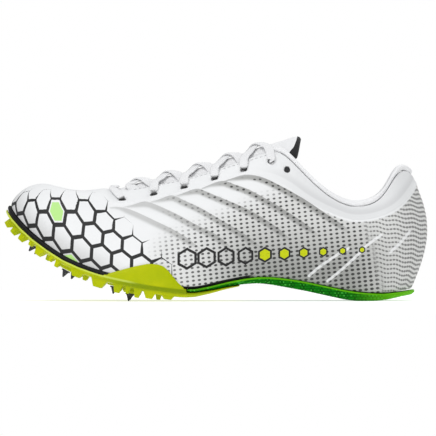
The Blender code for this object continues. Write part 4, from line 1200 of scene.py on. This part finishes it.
# Middle of each patch's hole, in millimetres, and the way out through it
PATCHES = (
    ((46.6, -20.6, 87.0), (-0.034, -0.946, 0.322)),
    ((46.6, 22.5, 87.0), (-0.085, 0.978, 0.191)),
)
PATCH_INSET = 0.0016
PATCH_RADIUS = 0.0034
PATCH_HALF_DEPTH = 0.0002
PATCH_CORNERS = 24
patches = []
for place, slope in PATCHES:
    outward = Vector(slope)
    middle = Vector(place) / 1000.0 - outward * PATCH_INSET
    turn = Vector((0.0, 0.0, 1.0)).rotation_difference(outward).to_matrix()
    shape = bmesh.new()
    rings = []
    for depth in (-PATCH_HALF_DEPTH, PATCH_HALF_DEPTH):
        ring = []
        for corner in range(PATCH_CORNERS):
            angle = math.tau * corner / PATCH_CORNERS
            offset = Vector((
                PATCH_RADIUS * math.cos(angle), PATCH_RADIUS * math.sin(angle), depth))
            ring.append(shape.verts.new(middle + turn @ offset))
        rings.append(ring)
    sleeve(shape, rings)
    patches.append(new_piece(shape, "patch"))
hole_shade_discs = join(patches, "eyelet_shade_discs")
hole_shade_discs.data.materials.append(lining_black)
settle(hole_shade_discs, "upper_mesh")


# Stitches
# White thread in a running seam along both edges of the throat, through the
# film and the knit.
STITCH_LENGTH = 0.0020
STITCH_PITCH = 0.0032
STITCH_RADIUS = 0.00022
STITCH_CORNERS = 6
SEAM_END = 0.002
YARN_LOW = (0.50, 0.50, 0.51)
YARN_HIGH = (0.68, 0.68, 0.69)

# Points along the outer and the inner edge, in millimetres
EDGE_OF_THROAT = (
    ((-56.6, -7.3, 72.9), (-56.7, 16.5, 72.8)),
    ((-38.1, -8.5, 76.1), (-38.2, 16.6, 75.9)),
    ((-19.2, -9.9, 80.0), (-19.3, 16.4, 79.7)),
    ((0.2, -11.2, 85.5), (0.1, 16.4, 85.3)),
    ((19.3, -12.5, 91.6), (19.2, 16.9, 91.4)),
    ((37.0, -14.3, 97.2), (37.0, 18.2, 97.0)),
)
wall = carriers[1]
shape = bmesh.new()
for side in (0, 1):
    line = smooth_line([row[side] for row in EDGE_OF_THROAT], False, 12)
    walked = walk(line)
    for place in np.arange(SEAM_END, walked[-1] - SEAM_END, STITCH_PITCH):
        ends = []
        for end in (place, place + STITCH_LENGTH):
            guess = Vector([float(np.interp(end, walked, line[:, k])) for k in range(3)])
            near, normal, _, _ = wall.find_nearest(guess)
            if normal.z < 0.0:
                normal = -normal
            ends.append(near + normal * (0.4 * STITCH_RADIUS))
        axis = ends[1] - ends[0]
        turn = Vector((0.0, 0.0, 1.0)).rotation_difference(axis).to_matrix()
        rings = []
        for share, size in ((0.0, 0.35), (0.2, 1.0), (0.8, 1.0), (1.0, 0.35)):
            ring = []
            for corner in range(STITCH_CORNERS):
                angle = math.tau * corner / STITCH_CORNERS
                flat = Vector((math.cos(angle), math.sin(angle), 0.0))
                flat *= STITCH_RADIUS * size
                ring.append(shape.verts.new(ends[0] + axis * share + turn @ flat))
            rings.append(ring)
        sleeve(shape, rings)
stitches = new_piece(shape, "throat_stitches")
stitches.data.shade_smooth()
yarn, n = new_material("stitch_thread", Roughness=0.7)
twist = n.noise(n.object_point(), 3000.0, 1.0)
n.finish(n.mix(twist, YARN_LOW, YARN_HIGH), n.bump(twist, 0.0001, 0.5))
stitches.data.materials.append(yarn)
settle(stitches, "upper_mesh")


size = {
    "cad": [list(corner) for corner in cad_box],
    "visual": [list(corner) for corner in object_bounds()],
}
